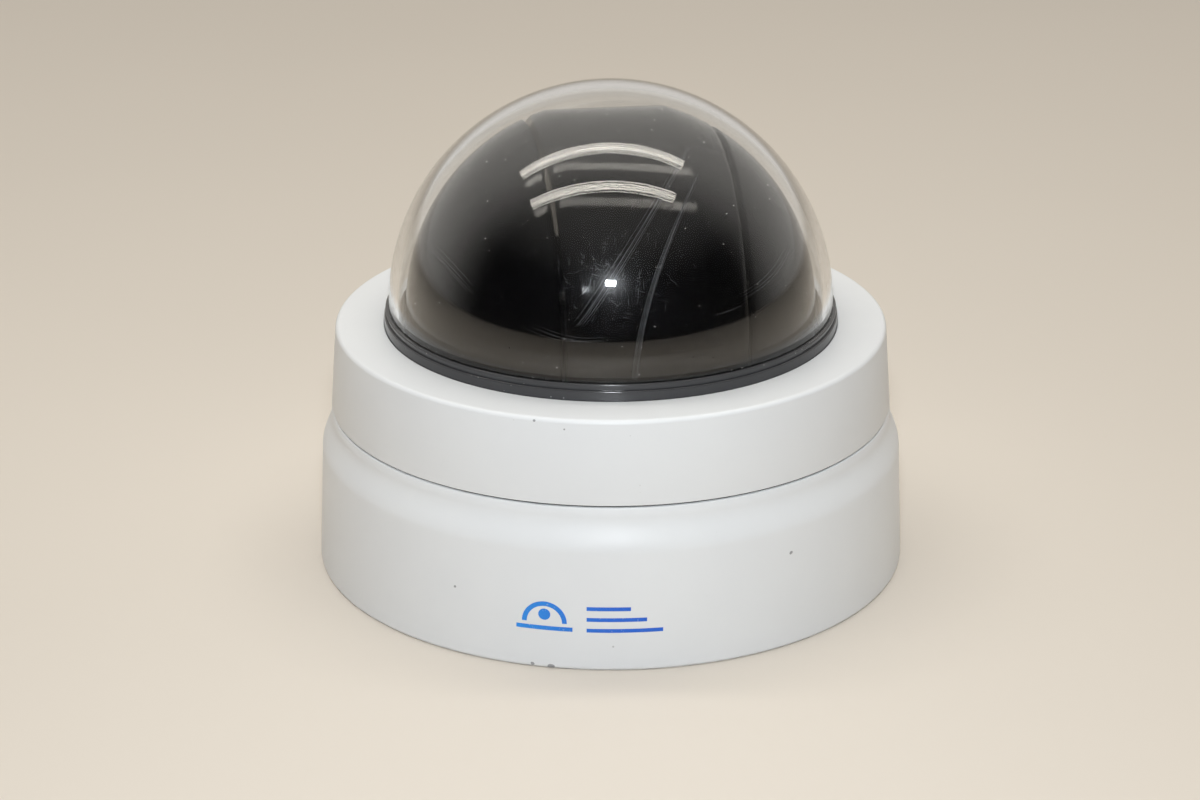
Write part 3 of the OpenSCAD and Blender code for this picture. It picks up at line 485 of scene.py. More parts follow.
finishes = {
    "white_shell": white_shell,
    "seal_rubber": rubber_black,
    "trim_ring": trim_dark,
    "clear_dome": clear_bubble,
    "ball_black": ball_black,
    "black_plastic": matt_black,
    "plated_steel": zinc_sheet,
    "bright_steel": turned_steel,
    "brass": machined_brass,
    "gear_nylon": moulded("natural_nylon", (0.62, 0.58, 0.48), 0.45),
    "circuit_board": lacquered_board("green_board"),
    "terminal_green": moulded("terminal_green", (0.03, 0.24, 0.09), 0.4),
    "switch_blue": moulded("switch_blue", (0.02, 0.05, 0.2), 0.4),
    "capacitor_sleeve": moulded("capacitor_sleeve", (0.02, 0.02, 0.05), 0.25),
    "lens_glass": coated_glass("coated_lens_glass"),
    "lens_carrier": moulded("lens_carrier_grey", (0.06, 0.06, 0.07), 0.42),
}
print(len(finishes), "finishes")

# %% Dress the CAD pieces
slot_of = {row["node"]: row["material_slot"] for row in frame["record"]["subparts"]}
for node, piece in frame["nodes"].items():
    if not piece.material_slots:
        piece.data.materials.append(None)
    piece.material_slots[0].material = finishes[slot_of[node]]
print("dressed", len(slot_of), "CAD pieces")


# %% Hand a new piece its finish and body
def install(piece, body, slot, *nodes, finish=None):
    """Gives a finished piece its material, makes it ride and lets it stand for CAD nodes."""
    piece.data.materials.clear()
    piece.data.materials.append(finish or finishes[slot])
    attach(piece, body)
    if nodes:
        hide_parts(*nodes)
    show(piece)
    return piece


# %% [markdown]
# ## The base housing
# The base is a shallow pot whose wall leans in slightly, then draws in over a soft shoulder to the seam. It
# is drawn as one closed section: foot, rounded edge, wall, shoulder, the step that takes the seal, the
# collar that the cover slides over, and back down the inside. The shoulder follows a smooth S so that light
# rolls over it without a line.

# %% Turn the base
wall = 2.6 * MM
floor_thickness = 2.5 * MM
foot_round = 1.0 * MM
shoulder_low = (76.7 * MM, 31.0 * MM)
shoulder_high = (74.1 * MM, 40.2 * MM)
collar_radius = 70.6 * MM
collar_height = high("housing_base").z


def s_curve(start, end, steps=28):
    """Points that leave start and reach end upright, as a soft shoulder does."""
    points = []
    for step in range(steps + 1):
        t = step / steps
        ease = t * t * (3 - 2 * t)
        points.append((start[0] + (end[0] - start[0]) * ease, start[1] + (end[1] - start[1]) * t))
    return points


def base_section():
    foot = bend((foot_radius - foot_round, foot_round), foot_round, -90, 0, 10)
    seam = seam_height - 0.5 * MM
    edge = bend((shoulder_high[0] - 0.5 * MM, seam - 0.3 * MM), 0.3 * MM, 20, 90, 4)
    seat = [(collar_radius + 0.8 * MM, seam), (collar_radius + 0.8 * MM, seam - 1 * MM)]
    collar = [(collar_radius, seam - 1 * MM), (collar_radius, collar_height - 0.4 * MM)]
    collar += [(collar_radius - 0.4 * MM, collar_height), (collar_radius - 1.6 * MM, collar_height)]
    collar += [(collar_radius - 2 * MM, collar_height - 0.4 * MM), (collar_radius - 2 * MM, 38 * MM)]
    inner = foot_radius - wall
    inside = [(inner - 1.6 * MM, 29 * MM), (inner - 0.4 * MM, floor_thickness + 1 * MM)]
    inside += [(inner - 1.4 * MM, floor_thickness), (0, floor_thickness)]
    return [(0, 0)] + foot + s_curve(shoulder_low, shoulder_high) + edge + seat + collar + inside


base = turn("base_housing_shell", base_section())
show(base)

# %% [markdown]
# The floor needs its four screw holes and the hole for the cable, and the bosses that the chassis and the
# boards stand on. The bosses are short cylinders with a bevelled rim, joined to the pot before it is bored.

# %% Bosses and holes of the base
def post(radius, bottom, top, place):
    """A round post from bottom to top at (x, y), with a small chamfer round its head."""
    deselect()
    bpy.ops.mesh.primitive_cylinder_add(vertices=40, radius=radius, depth=top - bottom,
                                        location=(place[0], place[1], (top + bottom) / 2))
    bpy.ops.object.transform_apply(location=True)
    boss = named("boss")
    modify(boss, "BEVEL", width=0.3 * MM, segments=2, limit_method="ANGLE")
    return boss


def round_place(angle, radius):
    return (radius * math.cos(math.radians(angle)), radius * math.sin(math.radians(angle)))


chassis_height = low("chassis_plate").z
board_height = low("main_board").z
mount_places = [round_place(45 + 90 * index, 66 * MM) for index in range(4)]
boss_plan = [(4 * MM, chassis_height, [round_place(30 + 90 * index, 32 * MM) for index in range(4)])]
boss_plan += [(3.2 * MM, chassis_height, [(x * MM, y * MM) for x in (49.6, 63) for y in (-14.3, 14.3)])]
boss_plan += [(3 * MM, board_height, [round_place(angle, 60 * MM) for angle in (112, 167, 205, 262, 327)])]
boss_plan += [(5 * MM, floor_thickness + 1.5 * MM, mount_places)]
for radius, top, places in boss_plan:
    for place in places:
        boss = post(radius, floor_thickness - 0.5 * MM, top, place)
        modify(base, "BOOLEAN", object=boss, operation="UNION", solver="EXACT")
        bpy.data.objects.remove(boss)

cable_low, cable_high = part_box("cable_grommet")
cable_place = ((cable_low.x + cable_high.x) / 2, (cable_low.y + cable_high.y) / 2)
for place, radius in [(place, 2.4 * MM) for place in mount_places] + [(cable_place, 8 * MM)]:
    bpy.ops.mesh.primitive_cylinder_add(vertices=64, radius=radius, depth=20 * MM, location=(*place, 0))
    bore(base, named("drill"))
smooth(base, 30)
install(base, "base", "white_shell", "housing_base")

# %% [markdown]
# ## The cover ring
# The cover is the upper half of the white housing: a short skirt with a flat top face that frames the
# bubble. Its outer edge is softened by a small round, and so is the inner lip where it meets the trim.

# %% Turn the cover
seam_radius = 73.9 * MM
face_radius = 72.4 * MM
trim_radius = 59.5 * MM
face_thickness = 2.8 * MM
screw_height = seam_height + 3 * MM


def cover_section():
    edge = 1.2 * MM
    under = face_height - face_thickness
    points = bend((seam_radius - 0.25 * MM, seam_height + 0.25 * MM), 0.25 * MM, -90, 0, 3)
    points += bend((face_radius - edge, face_height - edge), edge, 0, 90, 12)
    points += bend((trim_radius + 0.45 * MM, face_height - 0.4 * MM), 0.4 * MM, 90, 180, 5)
    points += [(trim_radius + 0.05 * MM, under), (face_radius - wall - 1.5 * MM, under)]
    points += [(face_radius - wall, under - 1.5 * MM), (seam_radius - wall, seam_height)]
    return points + points[:1]


cover = turn("cover_ring_shell", cover_section())
for angle in (50, 130):
    place = round_place(angle, 70 * MM)
    bpy.ops.mesh.primitive_cylinder_add(vertices=48, radius=2.05 * MM, depth=20 * MM,
                                        location=(*place, screw_height),
                                        rotation=(0, math.pi / 2, math.radians(angle)))
    bore(cover, named("drill"))
smooth(cover, 30)
install(cover, "cover", "white_shell", "cover_ring")

# %% [markdown]
# ## The trim ring
# The dark ring round the bubble is a rubbery gasket in two steps with a groove between them. The groove and
# the two rims catch thin highlights, so each has its own small round. Its inner face hugs the bubble.

# %% Turn the trim ring
def trim_section():
    inner = dome_radius + 0.02 * MM
    flange = high("clear_dome").x
    under = low("dome_gasket").z
    seat = face_height - face_thickness
    step = face_height + 2.2 * MM
    points = [(inner, under), (flange, under), (flange, seat - 0.02 * MM), (trim_radius, seat - 0.02 * MM)]
    points += bend((trim_radius - 0.35 * MM, step), 0.35 * MM, 0, 90, 6)
    points += [(trim_radius - 0.6 * MM, step + 0.32 * MM), (trim_radius - 0.6 * MM, step + 0.6 * MM)]
    points += bend((trim_radius - 0.62 * MM, trim_height - 0.3 * MM), 0.3 * MM, 0, 90, 6)
    points += [(inner, trim_height)]
    return points + points[:1]


trim = turn("trim_ring_stepped", trim_section())
install(trim, "cover", "trim_ring", "dome_gasket")

# %% [markdown]
# ## The clear bubble
# The bubble is half a sphere on a short straight collar, with a flange that is clamped under the cover's
# face. The section runs from the outer pole down the outside, round the flange and back up the inside to
# the inner pole. It stays open along the axis, because an edge on the axis would spin into empty faces.

# %% Turn the bubble
def bubble_section():
    thickness = 2.5 * MM
    inner = dome_radius - thickness
    flange = high("clear_dome").x
    under = low("clear_dome").z
    over = low("dome_gasket").z - 0.02 * MM
    centre = (0, dome_centre.z)
    points = bend(centre, dome_radius, 90, 0, 60)
    points += [(dome_radius, over + 0.6 * MM), (dome_radius + 0.6 * MM, over), (flange - 0.3 * MM, over)]
    points += [(flange, over - 0.3 * MM), (flange, under), (inner, under)]
    return points + bend(centre, inner, 0, 90, 60)


bubble = turn("clear_bubble", bubble_section())
install(bubble, "cover", "clear_dome", "clear_dome")

# %% [markdown]
# ## The ball's two sides
# The ball is cut by the drum into two glossy caps. Each cap is spun round the tilt axis as a single skin:
# a flat ring that faces the drum, a tiny round, and the spherical outside up to the pole. It is cut level
# below, given its wall by Solidify, and its rims are softened by a bevel that reads only sharp corners. The
# rim's round is given once, in degrees along the ball: a degree there is nearly a millimetre.

# %% Turn the side caps
ball_radius = 53.8 * MM
cap_opening = 34 * MM
drum_gap = 1.2 * MM
rim_round = 0.9
drum_faces = (-19.4 * MM, 26.6 * MM)
skirt_height = low("side_cover_left").z


def cap_section(side, face):
    """Half a section of a side cap: side is -1 or 1, and face is its flat ring's place on the axis."""
    rim = math.degrees(math.asin(abs(face) / ball_radius))
    edge = bend((0, 0), ball_radius, rim + rim_round, 90, 56)
    ring = [(cap_opening, abs(face)), (edge[0][0] - rim_round * MM, abs(face))]
    return [(out, along * side) for out, along in ring + edge]


def side_cap(name, side, node):
    face = drum_faces[0 if side < 0 else 1] + side * drum_gap
    cap = turn(name, cap_section(side, face), ball_centre, tilt_axis, Vector((0, 0, 1)))
    cut_away(cap, Vector((0, 0, skirt_height)), Vector((0, 0, -1)))
    modify(cap, "SOLIDIFY", thickness=2 * MM, offset=-1.0)
    modify(cap, "BEVEL", width=0.2 * MM, segments=2, limit_method="ANGLE", angle_limit=math.radians(60))
    smooth(cap)
    return install(cap, "pan_head", "ball_black", node)


side_cap("ball_cap_left", -1, "side_cover_left")
side_cap("ball_cap_right", 1, "side_cover_right")

# %% [markdown]
# ## The drum
# The band between the caps is a hollow drum with its own front and rear halves. Round its middle it is a
# plain cylinder, and near its ends it follows the ball, so its shoulders are rounded. The whole skin is
# spun once, copied, and each copy is cut along the parting plane. The front half then gets its window.

# %% Turn and part the drum
band_radius = 51.6 * MM
drum_wall = 2 * MM
window_radius = 16.1 * MM


def drum_section():
    shoulder = math.degrees(math.acos(band_radius / ball_radius))
    ends = [math.degrees(math.asin(face / ball_radius)) for face in drum_faces]
    left = bend((0, 0), ball_radius, ends[0] + rim_round, -shoulder, 10)
    right = bend((0, 0), ball_radius, shoulder, ends[1] - rim_round, 16)
    start = [(4.1 * MM, drum_faces[0]), (left[0][0] - rim_round * MM, drum_faces[0])]
    stop = [(right[-1][0] - rim_round * MM, drum_faces[1]), (4.1 * MM, drum_faces[1])]
    return start + left + right + stop


def drum_half(name, side, node):
    """One half of the drum: side 1 is the front, which holds the window, and side -1 the rear."""
    half = turn(name, drum_section(), ball_centre, tilt_axis, drum_up)
    cut_away(half, ball_centre + lens_axis * side * 0.1 * MM, lens_axis * -side)
    modify(half, "SOLIDIFY", thickness=drum_wall, offset=-1.0)
    if side > 0:
        middle = ball_centre + tilt_axis * sum(drum_faces) / 2 + lens_axis * 50 * MM
        turned = lens_axis.to_track_quat("Z", "Y").to_euler()
        bpy.ops.mesh.primitive_cylinder_add(vertices=128, radius=window_radius, depth=40 * MM,
                                            location=middle, rotation=turned)
        bore(half, named("drill"))
    modify(half, "BEVEL", width=0.2 * MM, segments=2, limit_method="ANGLE", angle_limit=math.radians(60))
    smooth(half)
    return install(half, "tilt_drum", "ball_black", node)


drum_half("drum_front_half", 1, "drum_front")
drum_half("drum_rear_half", -1, "drum_rear")

# %% [markdown]
# ## Inside the window: hood, glass and lens rings
# From behind, the eye goes straight to the lens. The hood is a black cone with fine steps that trap stray
# light, so its section is drawn as a small staircase and turned round the lens axis. The front glass bulges
# to both sides with true curves, and a thin ring holds it in the barrel.

# %% Turn the hood and the front glass
lens_centre = ball_centre + tilt_axis * sum(drum_faces) / 2
hood_steps = 9


def along_lens(name, section, steps=160):
    """Turns a section round the lens axis; its second numbers are distances in front of the tilt axis."""
    return turn(name, section, lens_centre, lens_axis, tilt_axis, steps)


def hood_section():
    inside = []
    for step in range(hood_steps):
        out, along = 13.52 + step * 0.125, 45.3 + step * 0.5
        inside += [(out * MM, along * MM), (out * MM, (along + 0.42) * MM)]
    lip = bend((15.25 * MM, 49.7 * MM), 0.6 * MM, 170, 10, 8)
    outside = [(15.95 * MM, 49.2 * MM), (15.95 * MM, 46 * MM)]
    outside += [(15.4 * MM, 40.02 * MM), (13.52 * MM, 40.02 * MM)]
    return inside + lip + outside + inside[:1]


install(along_lens("lens_hood_stepped", hood_section()), "tilt_drum", "black_plastic", "lens_hood")


def glass_section(radius, back, front, bulge):
    """Half of a lens: two shallow domes on a short cylinder, open on the axis."""
    sphere = (radius ** 2 + bulge ** 2) / (2 * bulge)
    half = math.degrees(math.asin(radius / sphere))
    outer = bend((0, front + bulge - sphere), sphere, 90, 90 - half, 20)
    inner = bend((0, back + sphere), sphere, half - 90, -90, 20)
    return outer + [(radius, front - 0.1 * MM), (radius, back + bulge + 0.1 * MM)] + inner[1:]


glass = along_lens("front_glass", glass_section(11.4 * MM, 41.15 * MM, 42.7 * MM, 1.0 * MM), 128)
install(glass, "tilt_drum", "lens_glass", "front_lens")

ring_section = [(11.5, 42.9), (11.5, 43.3), (11.0, 43.9), (11.0, 44.3)]
ring_section += [(12.3, 44.3), (12.3, 43.6), (11.8, 42.9)]
ring_section = [(out * MM, along * MM) for out, along in ring_section + ring_section[:1]]
install(along_lens("glass_retaining_ring", ring_section, 128), "tilt_drum", "lens_carrier")

# %% [markdown]
# ## Seal and cable grommet
# The seal is a soft ring that shows as a dark hairline in the seam. The grommet in the floor is a rubber
# bush with a flange and two soft ribs, through which the installer's cable comes up from the ceiling.

# %% Turn the seal and the grommet
def seal_section():
    inner, outer = collar_radius + 0.03 * MM, seam_radius - 0.55 * MM
    low_edge, step, top = seam_height - 1.4 * MM, seam_height - 0.42 * MM, seam_height - 0.06 * MM
    points = [(inner, low_edge), (inner + 0.65 * MM, low_edge), (inner + 0.65 * MM, step)]
    points += bend((outer - 0.17 * MM, (step + top) / 2), 0.17 * MM, -80, 80, 8) + [(inner, top)]
    return points + points[:1]


install(turn("seam_seal_bead", seal_section()), "base", "seal_rubber", "seam_seal")


def grommet_section():
    bush, through, top = 7.95 * MM, 4.02 * MM, 7.95 * MM
    flange = floor_thickness + 0.05 * MM
    points = [(through + 0.4 * MM, 0.02 * MM), (bush - 0.3 * MM, 0.02 * MM), (bush, 0.3 * MM), (bush, flange)]
    points += bend((bush + 0.9 * MM, flange + 0.45 * MM), 0.45 * MM, -90, 90, 8)
    points += [(bush - 0.6 * MM, flange + 1.1 * MM), (6.6 * MM, 5.2 * MM)]
    points += bend((6.2 * MM, 5.8 * MM), 0.4 * MM, -60, 80, 6) + [(5.9 * MM, 6.4 * MM)]
    points += bend((5.4 * MM, top - 0.5 * MM), 0.5 * MM, 10, 90, 6)
    points += [(through + 0.3 * MM, top), (through, top - 0.3 * MM), (through, 0.4 * MM)]
    return points + points[:1]


grommet = turn("cable_grommet_ribbed", grommet_section(), (*cable_place, 0), steps=96)
install(grommet, "base", "seal_rubber", "cable_grommet")

# %% [markdown]
# ## Small parts on the main board
# A bare board with a few blocks on it looks unfinished when the cover is lifted. Real boards carry dozens of
# tiny resistors and capacitors in rows, and each chip stands on a row of legs. One resistor is modelled as a
# ceramic body with two tinned ends, then copied along the free places of the board, each copy turned by a
# quarter turn or not. The places come from a seeded random draw, so every run gives the same board. The
# large parts are kept clear of, each by its angle and half the arc that it takes, in degrees.

# %% Model one resistor and copy it
board_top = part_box("main_board")[1].z
random.seed(41)
resistor_count = 64
resistor_gap = 2.6
resistor_rings = (53.0, 55.0, 57.0, 62.5, 65.0, 67.5)
attempts = 3000
keep_clear = [(123, 14), (150, 17), (181, 8), (193, 8), (243, 8), (254, 8), (276, 6), (286, 6), (296, 6)]
keep_clear += [(217, 8), (232, 7), (314, 6), (305, 6), (323, 6)] + [(a, 5) for a in (112, 167, 205, 262, 327)]


def free_places(count, span):
    """Places on the board's ring, at least span degrees from anything large and apart from each other."""
    found = []
    for _ in range(attempts):
        angle, radius = random.uniform(109, 329), random.choice(resistor_rings)
        near = any(abs(angle - middle) < wide for middle, wide in keep_clear)
        crowd = any(abs(angle - a) * radius / 57 < span and abs(radius - r) < 1.9 for a, r in found)
        mount = any(abs(angle - m) < 8 and radius > 57 for m in (135, 225, 315))
        if len(found) < count and not (near or crowd or mount):
            found.append((angle, radius))
    return found


places = free_places(resistor_count, resistor_gap)
body_pattern = block("resistor", (1.2, 1.25, 0.5), (0, 0, 0.25 * MM))
end_pattern = block("ends", (2.0, 1.2, 0.45), (0, 0, 0.225 * MM))
bodies, ends = [], []
for angle, radius in places:
    place = Vector((*round_place(angle, radius * MM), board_top))
    turned = math.radians(angle) + random.choice((0, math.pi / 2))
    bodies.append(copied(body_pattern, place, turned))
    ends.append(copied(end_pattern, place, turned))
install(gather("board_resistors", bodies, body_pattern), "base", "black_plastic")
install(gather("board_resistor_ends", ends, end_pattern), "base", "bright_steel")

# %% Give the chips their legs
chip_places = [(217, 57, 10, 10, 11), (232, 56, 6, 8, 8), (314, 56.5, 6, 6, 6)]
leg_pattern = block("leg", (1.1, 0.32, 0.22), (0, 0, 0.11 * MM), 0.05)
legs = []
for angle, radius, long, wide, count in chip_places:
    turned = math.radians(angle)
    middle = Vector((*round_place(angle, radius * MM), board_top))
    for index in range(count):
        shift = (index - (count - 1) / 2) * (wide - 1.6) / (count - 1) * MM
        for side in (-1, 1):
            offset = Matrix.Rotation(turned, 3, "Z") @ Vector((side * (long / 2 + 0.5) * MM, shift, 0))
            legs.append(copied(leg_pattern, middle + offset, turned))
install(gather("chip_legs", legs, leg_pattern), "base", "bright_steel")

# %% Cap the capacitors
can_places = [(angle, 61, 4.0, 12.0) for angle in (276, 286, 296)]
can_places += [(angle, 55.5, 3.0, 9.0) for angle in (305, 323)]
tops = []
for angle, radius, wide, tall in can_places:
    place = (*round_place(angle, radius * MM), board_top)
    section = [(0, tall - 0.1), (wide - 0.9, tall - 0.1), (wide - 0.75, tall + 0.12)]
    section += [(wide - 0.45, tall + 0.14), (wide - 0.2, tall - 0.05)]
    section += [(wide - 0.2, tall - 0.4), (0, tall - 0.4)]
    tops.append(turn("can_top", [(out * MM, along * MM) for out, along in section], place, steps=48))
install(gather("capacitor_tops", tops), "base", "plated_steel")

# %% [markdown]
# ## Printed badge
# The front carries a plain picture of what the device is: a ceiling line with a dome on it and a dot for the
# lens, beside three lines. The shapes are drawn flat in front of the wall and
# then projected onto it with Shrinkwrap, which bends them round the housing. Solidify gives the ink its film.

# %% Draw the badge
badge_front = -foot_radius - 2 * MM
badge_left, badge_low = -16.5 * MM, 10.4 * MM


def flat_bar(name, left, low_edge, wide, tall):
    """A flat strip facing the front, cut into short cells so that it can bend."""
    deselect()
    bpy.ops.mesh.primitive_plane_add(size=1, location=(left + wide / 2, badge_front, low_edge + tall / 2),
                                     rotation=(math.pi / 2, 0, 0))
    strip = named(name)
    strip.scale = (wide, tall, 1)
    bpy.ops.object.transform_apply()
    bpy.ops.object.mode_set(mode="EDIT")
    bpy.ops.mesh.subdivide(number_cuts=15)
    bpy.ops.object.mode_set(mode="OBJECT")
    return strip


def flat_arc(name, inner, outer, middle, angle, first=(1, 0, 0)):
    """A flat ring or part of one, from a short edge spun about a line towards the front."""
    first = Vector(first)
    piece = first_point(name, Vector(middle) + first * inner)
    for _ in range(3):
        step = first * (outer - inner) / 3
        bpy.ops.mesh.extrude_vertices_move(TRANSFORM_OT_translate={"value": step})
    bpy.ops.mesh.select_all(action="SELECT")
    bpy.ops.mesh.spin(steps=40, angle=angle, center=middle, axis=(0, 1, 0))
    bpy.ops.mesh.select_all(action="SELECT")
    bpy.ops.mesh.remove_doubles(threshold=merge_distance)
    bpy.ops.object.mode_set(mode="OBJECT")
    return piece


badge_middle = (badge_left, badge_front, badge_low + 2.0 * MM)
shapes = [flat_bar("ceiling_line", badge_left - 7 * MM, badge_low, 14 * MM, 1.1 * MM)]
shapes.append(flat_arc("dome_line", 4.4 * MM, 5.6 * MM, badge_middle, math.pi))
dot_middle = (badge_left, badge_front, badge_low + 4.2 * MM)
shapes.append(flat_arc("lens_dot", 0.0, 1.5 * MM, dot_middle, 2 * math.pi))
for row, wide in enumerate((19, 15, 11)):
    shapes.append(flat_bar("line", -6 * MM, badge_low + row * 2.9 * MM, wide * MM, 1.0 * MM))
badge = gather("printed_badge", shapes)
pick(badge)
bpy.ops.object.mode_set(mode="EDIT")
bpy.ops.mesh.select_all(action="SELECT")
bpy.ops.mesh.normals_make_consistent(inside=False)
bpy.ops.object.mode_set(mode="OBJECT")
modify(badge, "SHRINKWRAP", target=base, wrap_method="PROJECT", use_project_y=True,
       use_negative_direction=True, use_positive_direction=True, offset=0.01 * MM)
modify(badge, "SOLIDIFY", thickness=0.06 * MM, offset=0.0, use_even_offset=True)
install(badge, "base", "white_shell", finish=blue_ink)

# %% [markdown]
# ## Scratches on the bubble
# Wiping has left long streaks, each a bundle of hairlines that run side by side, and a haze of short
# hairlines in front. Most hairlines are smooth paths a few hundredths of a millimetre thick, laid on the
# bubble and turned to mesh. A streak is given by three or four places on the dome, in degrees round it and
# up it, then by how many hairlines it has and by how many degrees they stray.

# %% Draw the hairlines
def on_bubble(azimuth, elevation):
    """A place on the bubble: degrees from the front towards the right, and degrees up from its rim."""
    round_it, up_it = math.radians(azimuth), math.radians(elevation)
    level = math.cos(up_it)
    outward = Vector((level * math.sin(round_it), -level * math.cos(round_it), math.sin(up_it)))
    return dome_centre + dome_radius * outward


def hairline(points, thickness):
    """One scratch through places on the bubble, thinning out at both ends."""
    deselect()
    bpy.ops.curve.primitive_nurbs_path_add()
    path = bpy.context.object
    spline = path.data.splines[0]
    count = len(spline.points)
    for index, point in enumerate(spline.points):
        t = index / (count - 1) * (len(points) - 1)
        whole = min(int(t), len(points) - 2)
        here, there = points[whole], points[whole + 1]
        azimuth, elevation = [a + (b - a) * (t - whole) for a, b in zip(here, there)]
        point.co = (*on_bubble(azimuth, elevation), 1)
        point.radius = 0.3 + 0.7 * math.sin(math.pi * index / (count - 1))
    path.data.bevel_depth = thickness / 2
    path.data.bevel_resolution = 0
    path.data.resolution_u = 3
    path.data.use_fill_caps = True
    return path


def lay_lines(name, lines):
    lines = gather(name, lines)
    pick(lines)
    bpy.ops.object.convert(target="MESH")
    return install(lines, "cover", "clear_dome", finish=pale_scuff)


random.seed(7)
streaks = [([(39, 58), (9, 39), (-3, 20), (-8, 14)], 9, 0.9), ([(35, 50), (13, 32), (7, 15), (6, 1)], 9, 0.8),
           ([(-57, 25), (-48, 23), (-39, 19)], 5, 1.2), ([(-83, 51), (-76, 60), (-69, 65)], 5, 1.0),
           ([(-20, 13), (-10, 10), (-2, 11)], 4, 1.4), ([(37, 17), (48, 19), (58, 24)], 4, 1.4),
           ([(150, 20), (165, 38), (190, 52)], 7, 1.2), ([(215, 12), (228, 30), (236, 44)], 6, 1.0)]
lines = []
for points, count, spread in streaks:
    for _ in range(count):
        shift = (random.gauss(0, spread), random.gauss(0, spread * 0.6))
        line = [(azimuth + shift[0], elevation + shift[1]) for azimuth, elevation in points]
        lines.append(hairline(line, random.uniform(0.02, 0.06) * MM))
lines.append(hairline([(-6, 22), (-3.5, 19), (-8, 14)], 0.14 * MM))
# A thicker pale strip is laid low on the right of the bubble.
lines.append(hairline([(27, 14.5), (31, 15), (35.5, 15.5)], 0.16 * MM))
lay_lines("bubble_streaks", lines)

haze_middle = (0, 25)
haze_count = 150
lines = []
for _ in range(haze_count):
    azimuth = haze_middle[0] + random.gauss(0, 9)
    elevation = haze_middle[1] + random.gauss(0, 7)
    lean, length = random.uniform(0, math.pi), random.uniform(0.6, 2.2)
    step = (length * math.cos(lean), length * math.sin(lean))
    lines.append(hairline([(azimuth, elevation), (azimuth + step[0], elevation + step[1])], 0.03 * MM))
lay_lines("bubble_fine_scratches", lines)

# %% [markdown]
# ## Dust on the bubble
# Dust shows as pale points against the black ball. One grain is a coarse ball, flattened and copied to
# seeded places all over the bubble, more of them low down, where it settles.

# %% Scatter the dust
deselect()
bpy.ops.mesh.primitive_ico_sphere_add(subdivisions=1, radius=1)
grain_pattern = named("grain")
grain_count = 420
grains = []
for _ in range(grain_count):
    azimuth, elevation = random.uniform(-180, 180), 75 * random.random() ** 1.6
    size = random.choice((0.07, 0.08, 0.1, 0.13, 0.19)) * MM
    grains.append(copied(grain_pattern, on_bubble(azimuth, elevation), 0, Vector((size, size, size * 0.6))))
install(gather("bubble_dust", grains, grain_pattern), "cover", "clear_dome", finish=pale_dust)

# %% [markdown]
# ## Floor
# The camera stands on a large sheet of cream paper. It is one plane, big enough that no edge shows from any
# side, with a faint unevenness of tone and a paper's tooth.

# %% Lay the paper
def paper(name, color):
    finish = Finish(name, Roughness=0.85)
    tone = finish.ramp(finish.noise(2.2, 3.0), 0.3, 0.7)
    finish.feed(Base_Color=finish.mix(tone, rgb(*[value * 0.97 for value in color]), rgb(*color)))
    return finish.bump(finish.noise(700.0, 3.0), 0.1, 0.1 * MM).material


deselect()
bpy.ops.mesh.primitive_plane_add(size=9.0)
sheet = named("paper_sheet")
sheet.data.materials.append(paper("cream_paper", (0.70, 0.645, 0.575)))
print("paper laid")

# %% [markdown]
# ## Lights
# Two ceiling fittings hang overhead, each a row of four thin tubes, and draw two pale arcs in the bubble.
# A small cool light a hand's width above the camera fills the front. Each light is an area lamp turned
# towards the object, because a soft edge on the shadows comes from the size of the lamp.

# %% Hang the lights
def soft_light(name, place, target, size, power, color, spread=180):
    bpy.ops.object.light_add(type="AREA", location=place)
    light = named(name)
    light.rotation_euler = (Vector(target) - Vector(place)).to_track_quat("-Z", "Y").to_euler()
    light.data.shape = "RECTANGLE"
    light.data.size, light.data.size_y = size
    light.data.energy = power
    light.data.color = color
    light.data.spread = math.radians(spread)
    return light


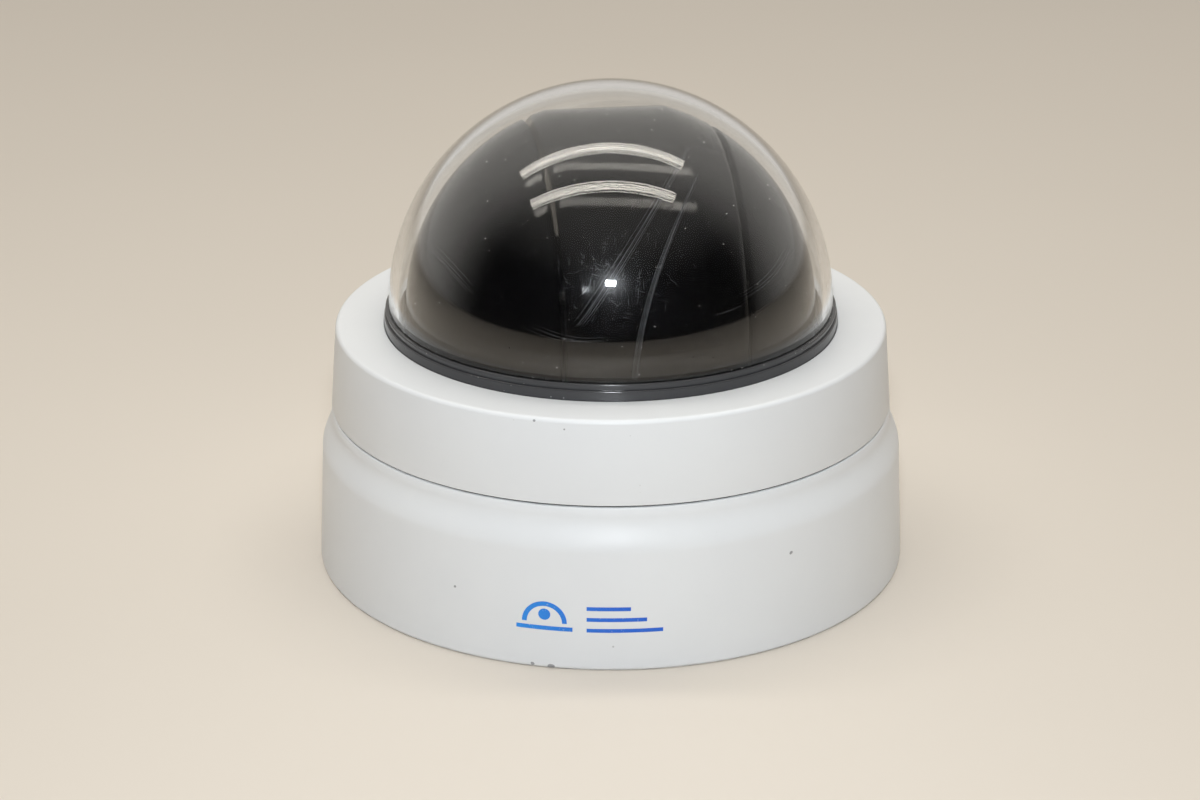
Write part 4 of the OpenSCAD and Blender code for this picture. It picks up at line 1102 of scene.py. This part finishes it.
fitting_centre = -0.1
fitting_height = 1.17
tube_length = 1.4
tube_width = 0.014
tube_spacing = 0.026
tube_power = 0.85
tube_color = (1.0, 0.95, 0.86)
for side, offset in (("rear", 0.27), ("front", -0.2)):
    for row in range(4):
        place = (fitting_centre, offset + (row - 1.5) * tube_spacing, fitting_height)
        target = (fitting_centre, 0, face_height)
        size = (tube_length, tube_width)
        soft_light(f"tube_{side}_{row}", place, target, size, tube_power, tube_color)

flash_power = 0.8
above_camera = camera.location + Vector((0, 0, 0.15))
soft_light("front_fill", above_camera, look_at, (0.085, 0.045), flash_power, (0.9, 0.95, 1.0), spread=70)
print("eight tubes and a front light")

# %% [markdown]
# ## The room
# The room is only a background colour that depends on direction. It is pale overhead and on the far side of
# the housing, which lights the white plastic softly, and dark where the viewer stands, so that the glossy
# black ball stays black in front and turns grey near its top and edges.

# %% Paint the room
room = bpy.data.worlds.new("pale_room")
bpy.context.scene.world = room
room.use_nodes = True
room_nodes, room_links = room.node_tree.nodes, room.node_tree.links


def room_node(kind, **inputs):
    node = room_nodes.new("ShaderNode" + kind)
    for key, value in inputs.items():
        socket = node.inputs[key.replace("_", " ")]
        if isinstance(value, bpy.types.NodeSocket):
            room_links.new(value, socket)
        else:
            socket.default_value = value
    return node


room_power = 0.63
direction = room_node("TexCoord").outputs["Generated"]
parts = room_node("SeparateXYZ", Vector=direction)
behind = room_node("MapRange", Value=parts.outputs["Y"], From_Min=-0.3, From_Max=0.4,
                   To_Min=0.02, To_Max=1.0)
overhead = room_node("MapRange", Value=parts.outputs["Z"], From_Min=0.45, From_Max=0.95,
                     To_Min=0.0, To_Max=0.35)
for node in (behind, overhead):
    node.interpolation_type = "SMOOTHSTEP"
total = room_nodes.new("ShaderNodeMath")
room_links.new(behind.outputs[0], total.inputs[0])
room_links.new(overhead.outputs[0], total.inputs[1])
scaled = room_nodes.new("ShaderNodeMath")
scaled.operation = "MULTIPLY"
scaled.inputs[1].default_value = room_power
room_links.new(total.outputs[0], scaled.inputs[0])
background = room_nodes["Background"]
background.inputs["Color"].default_value = rgb(1.0, 0.96, 0.9)
room_links.new(scaled.outputs[0], background.inputs["Strength"])
bpy.context.scene.view_settings.view_transform = "Standard"
print("room painted")

# %% [markdown]
# ## Finish

# %% Finish
print("scene built")
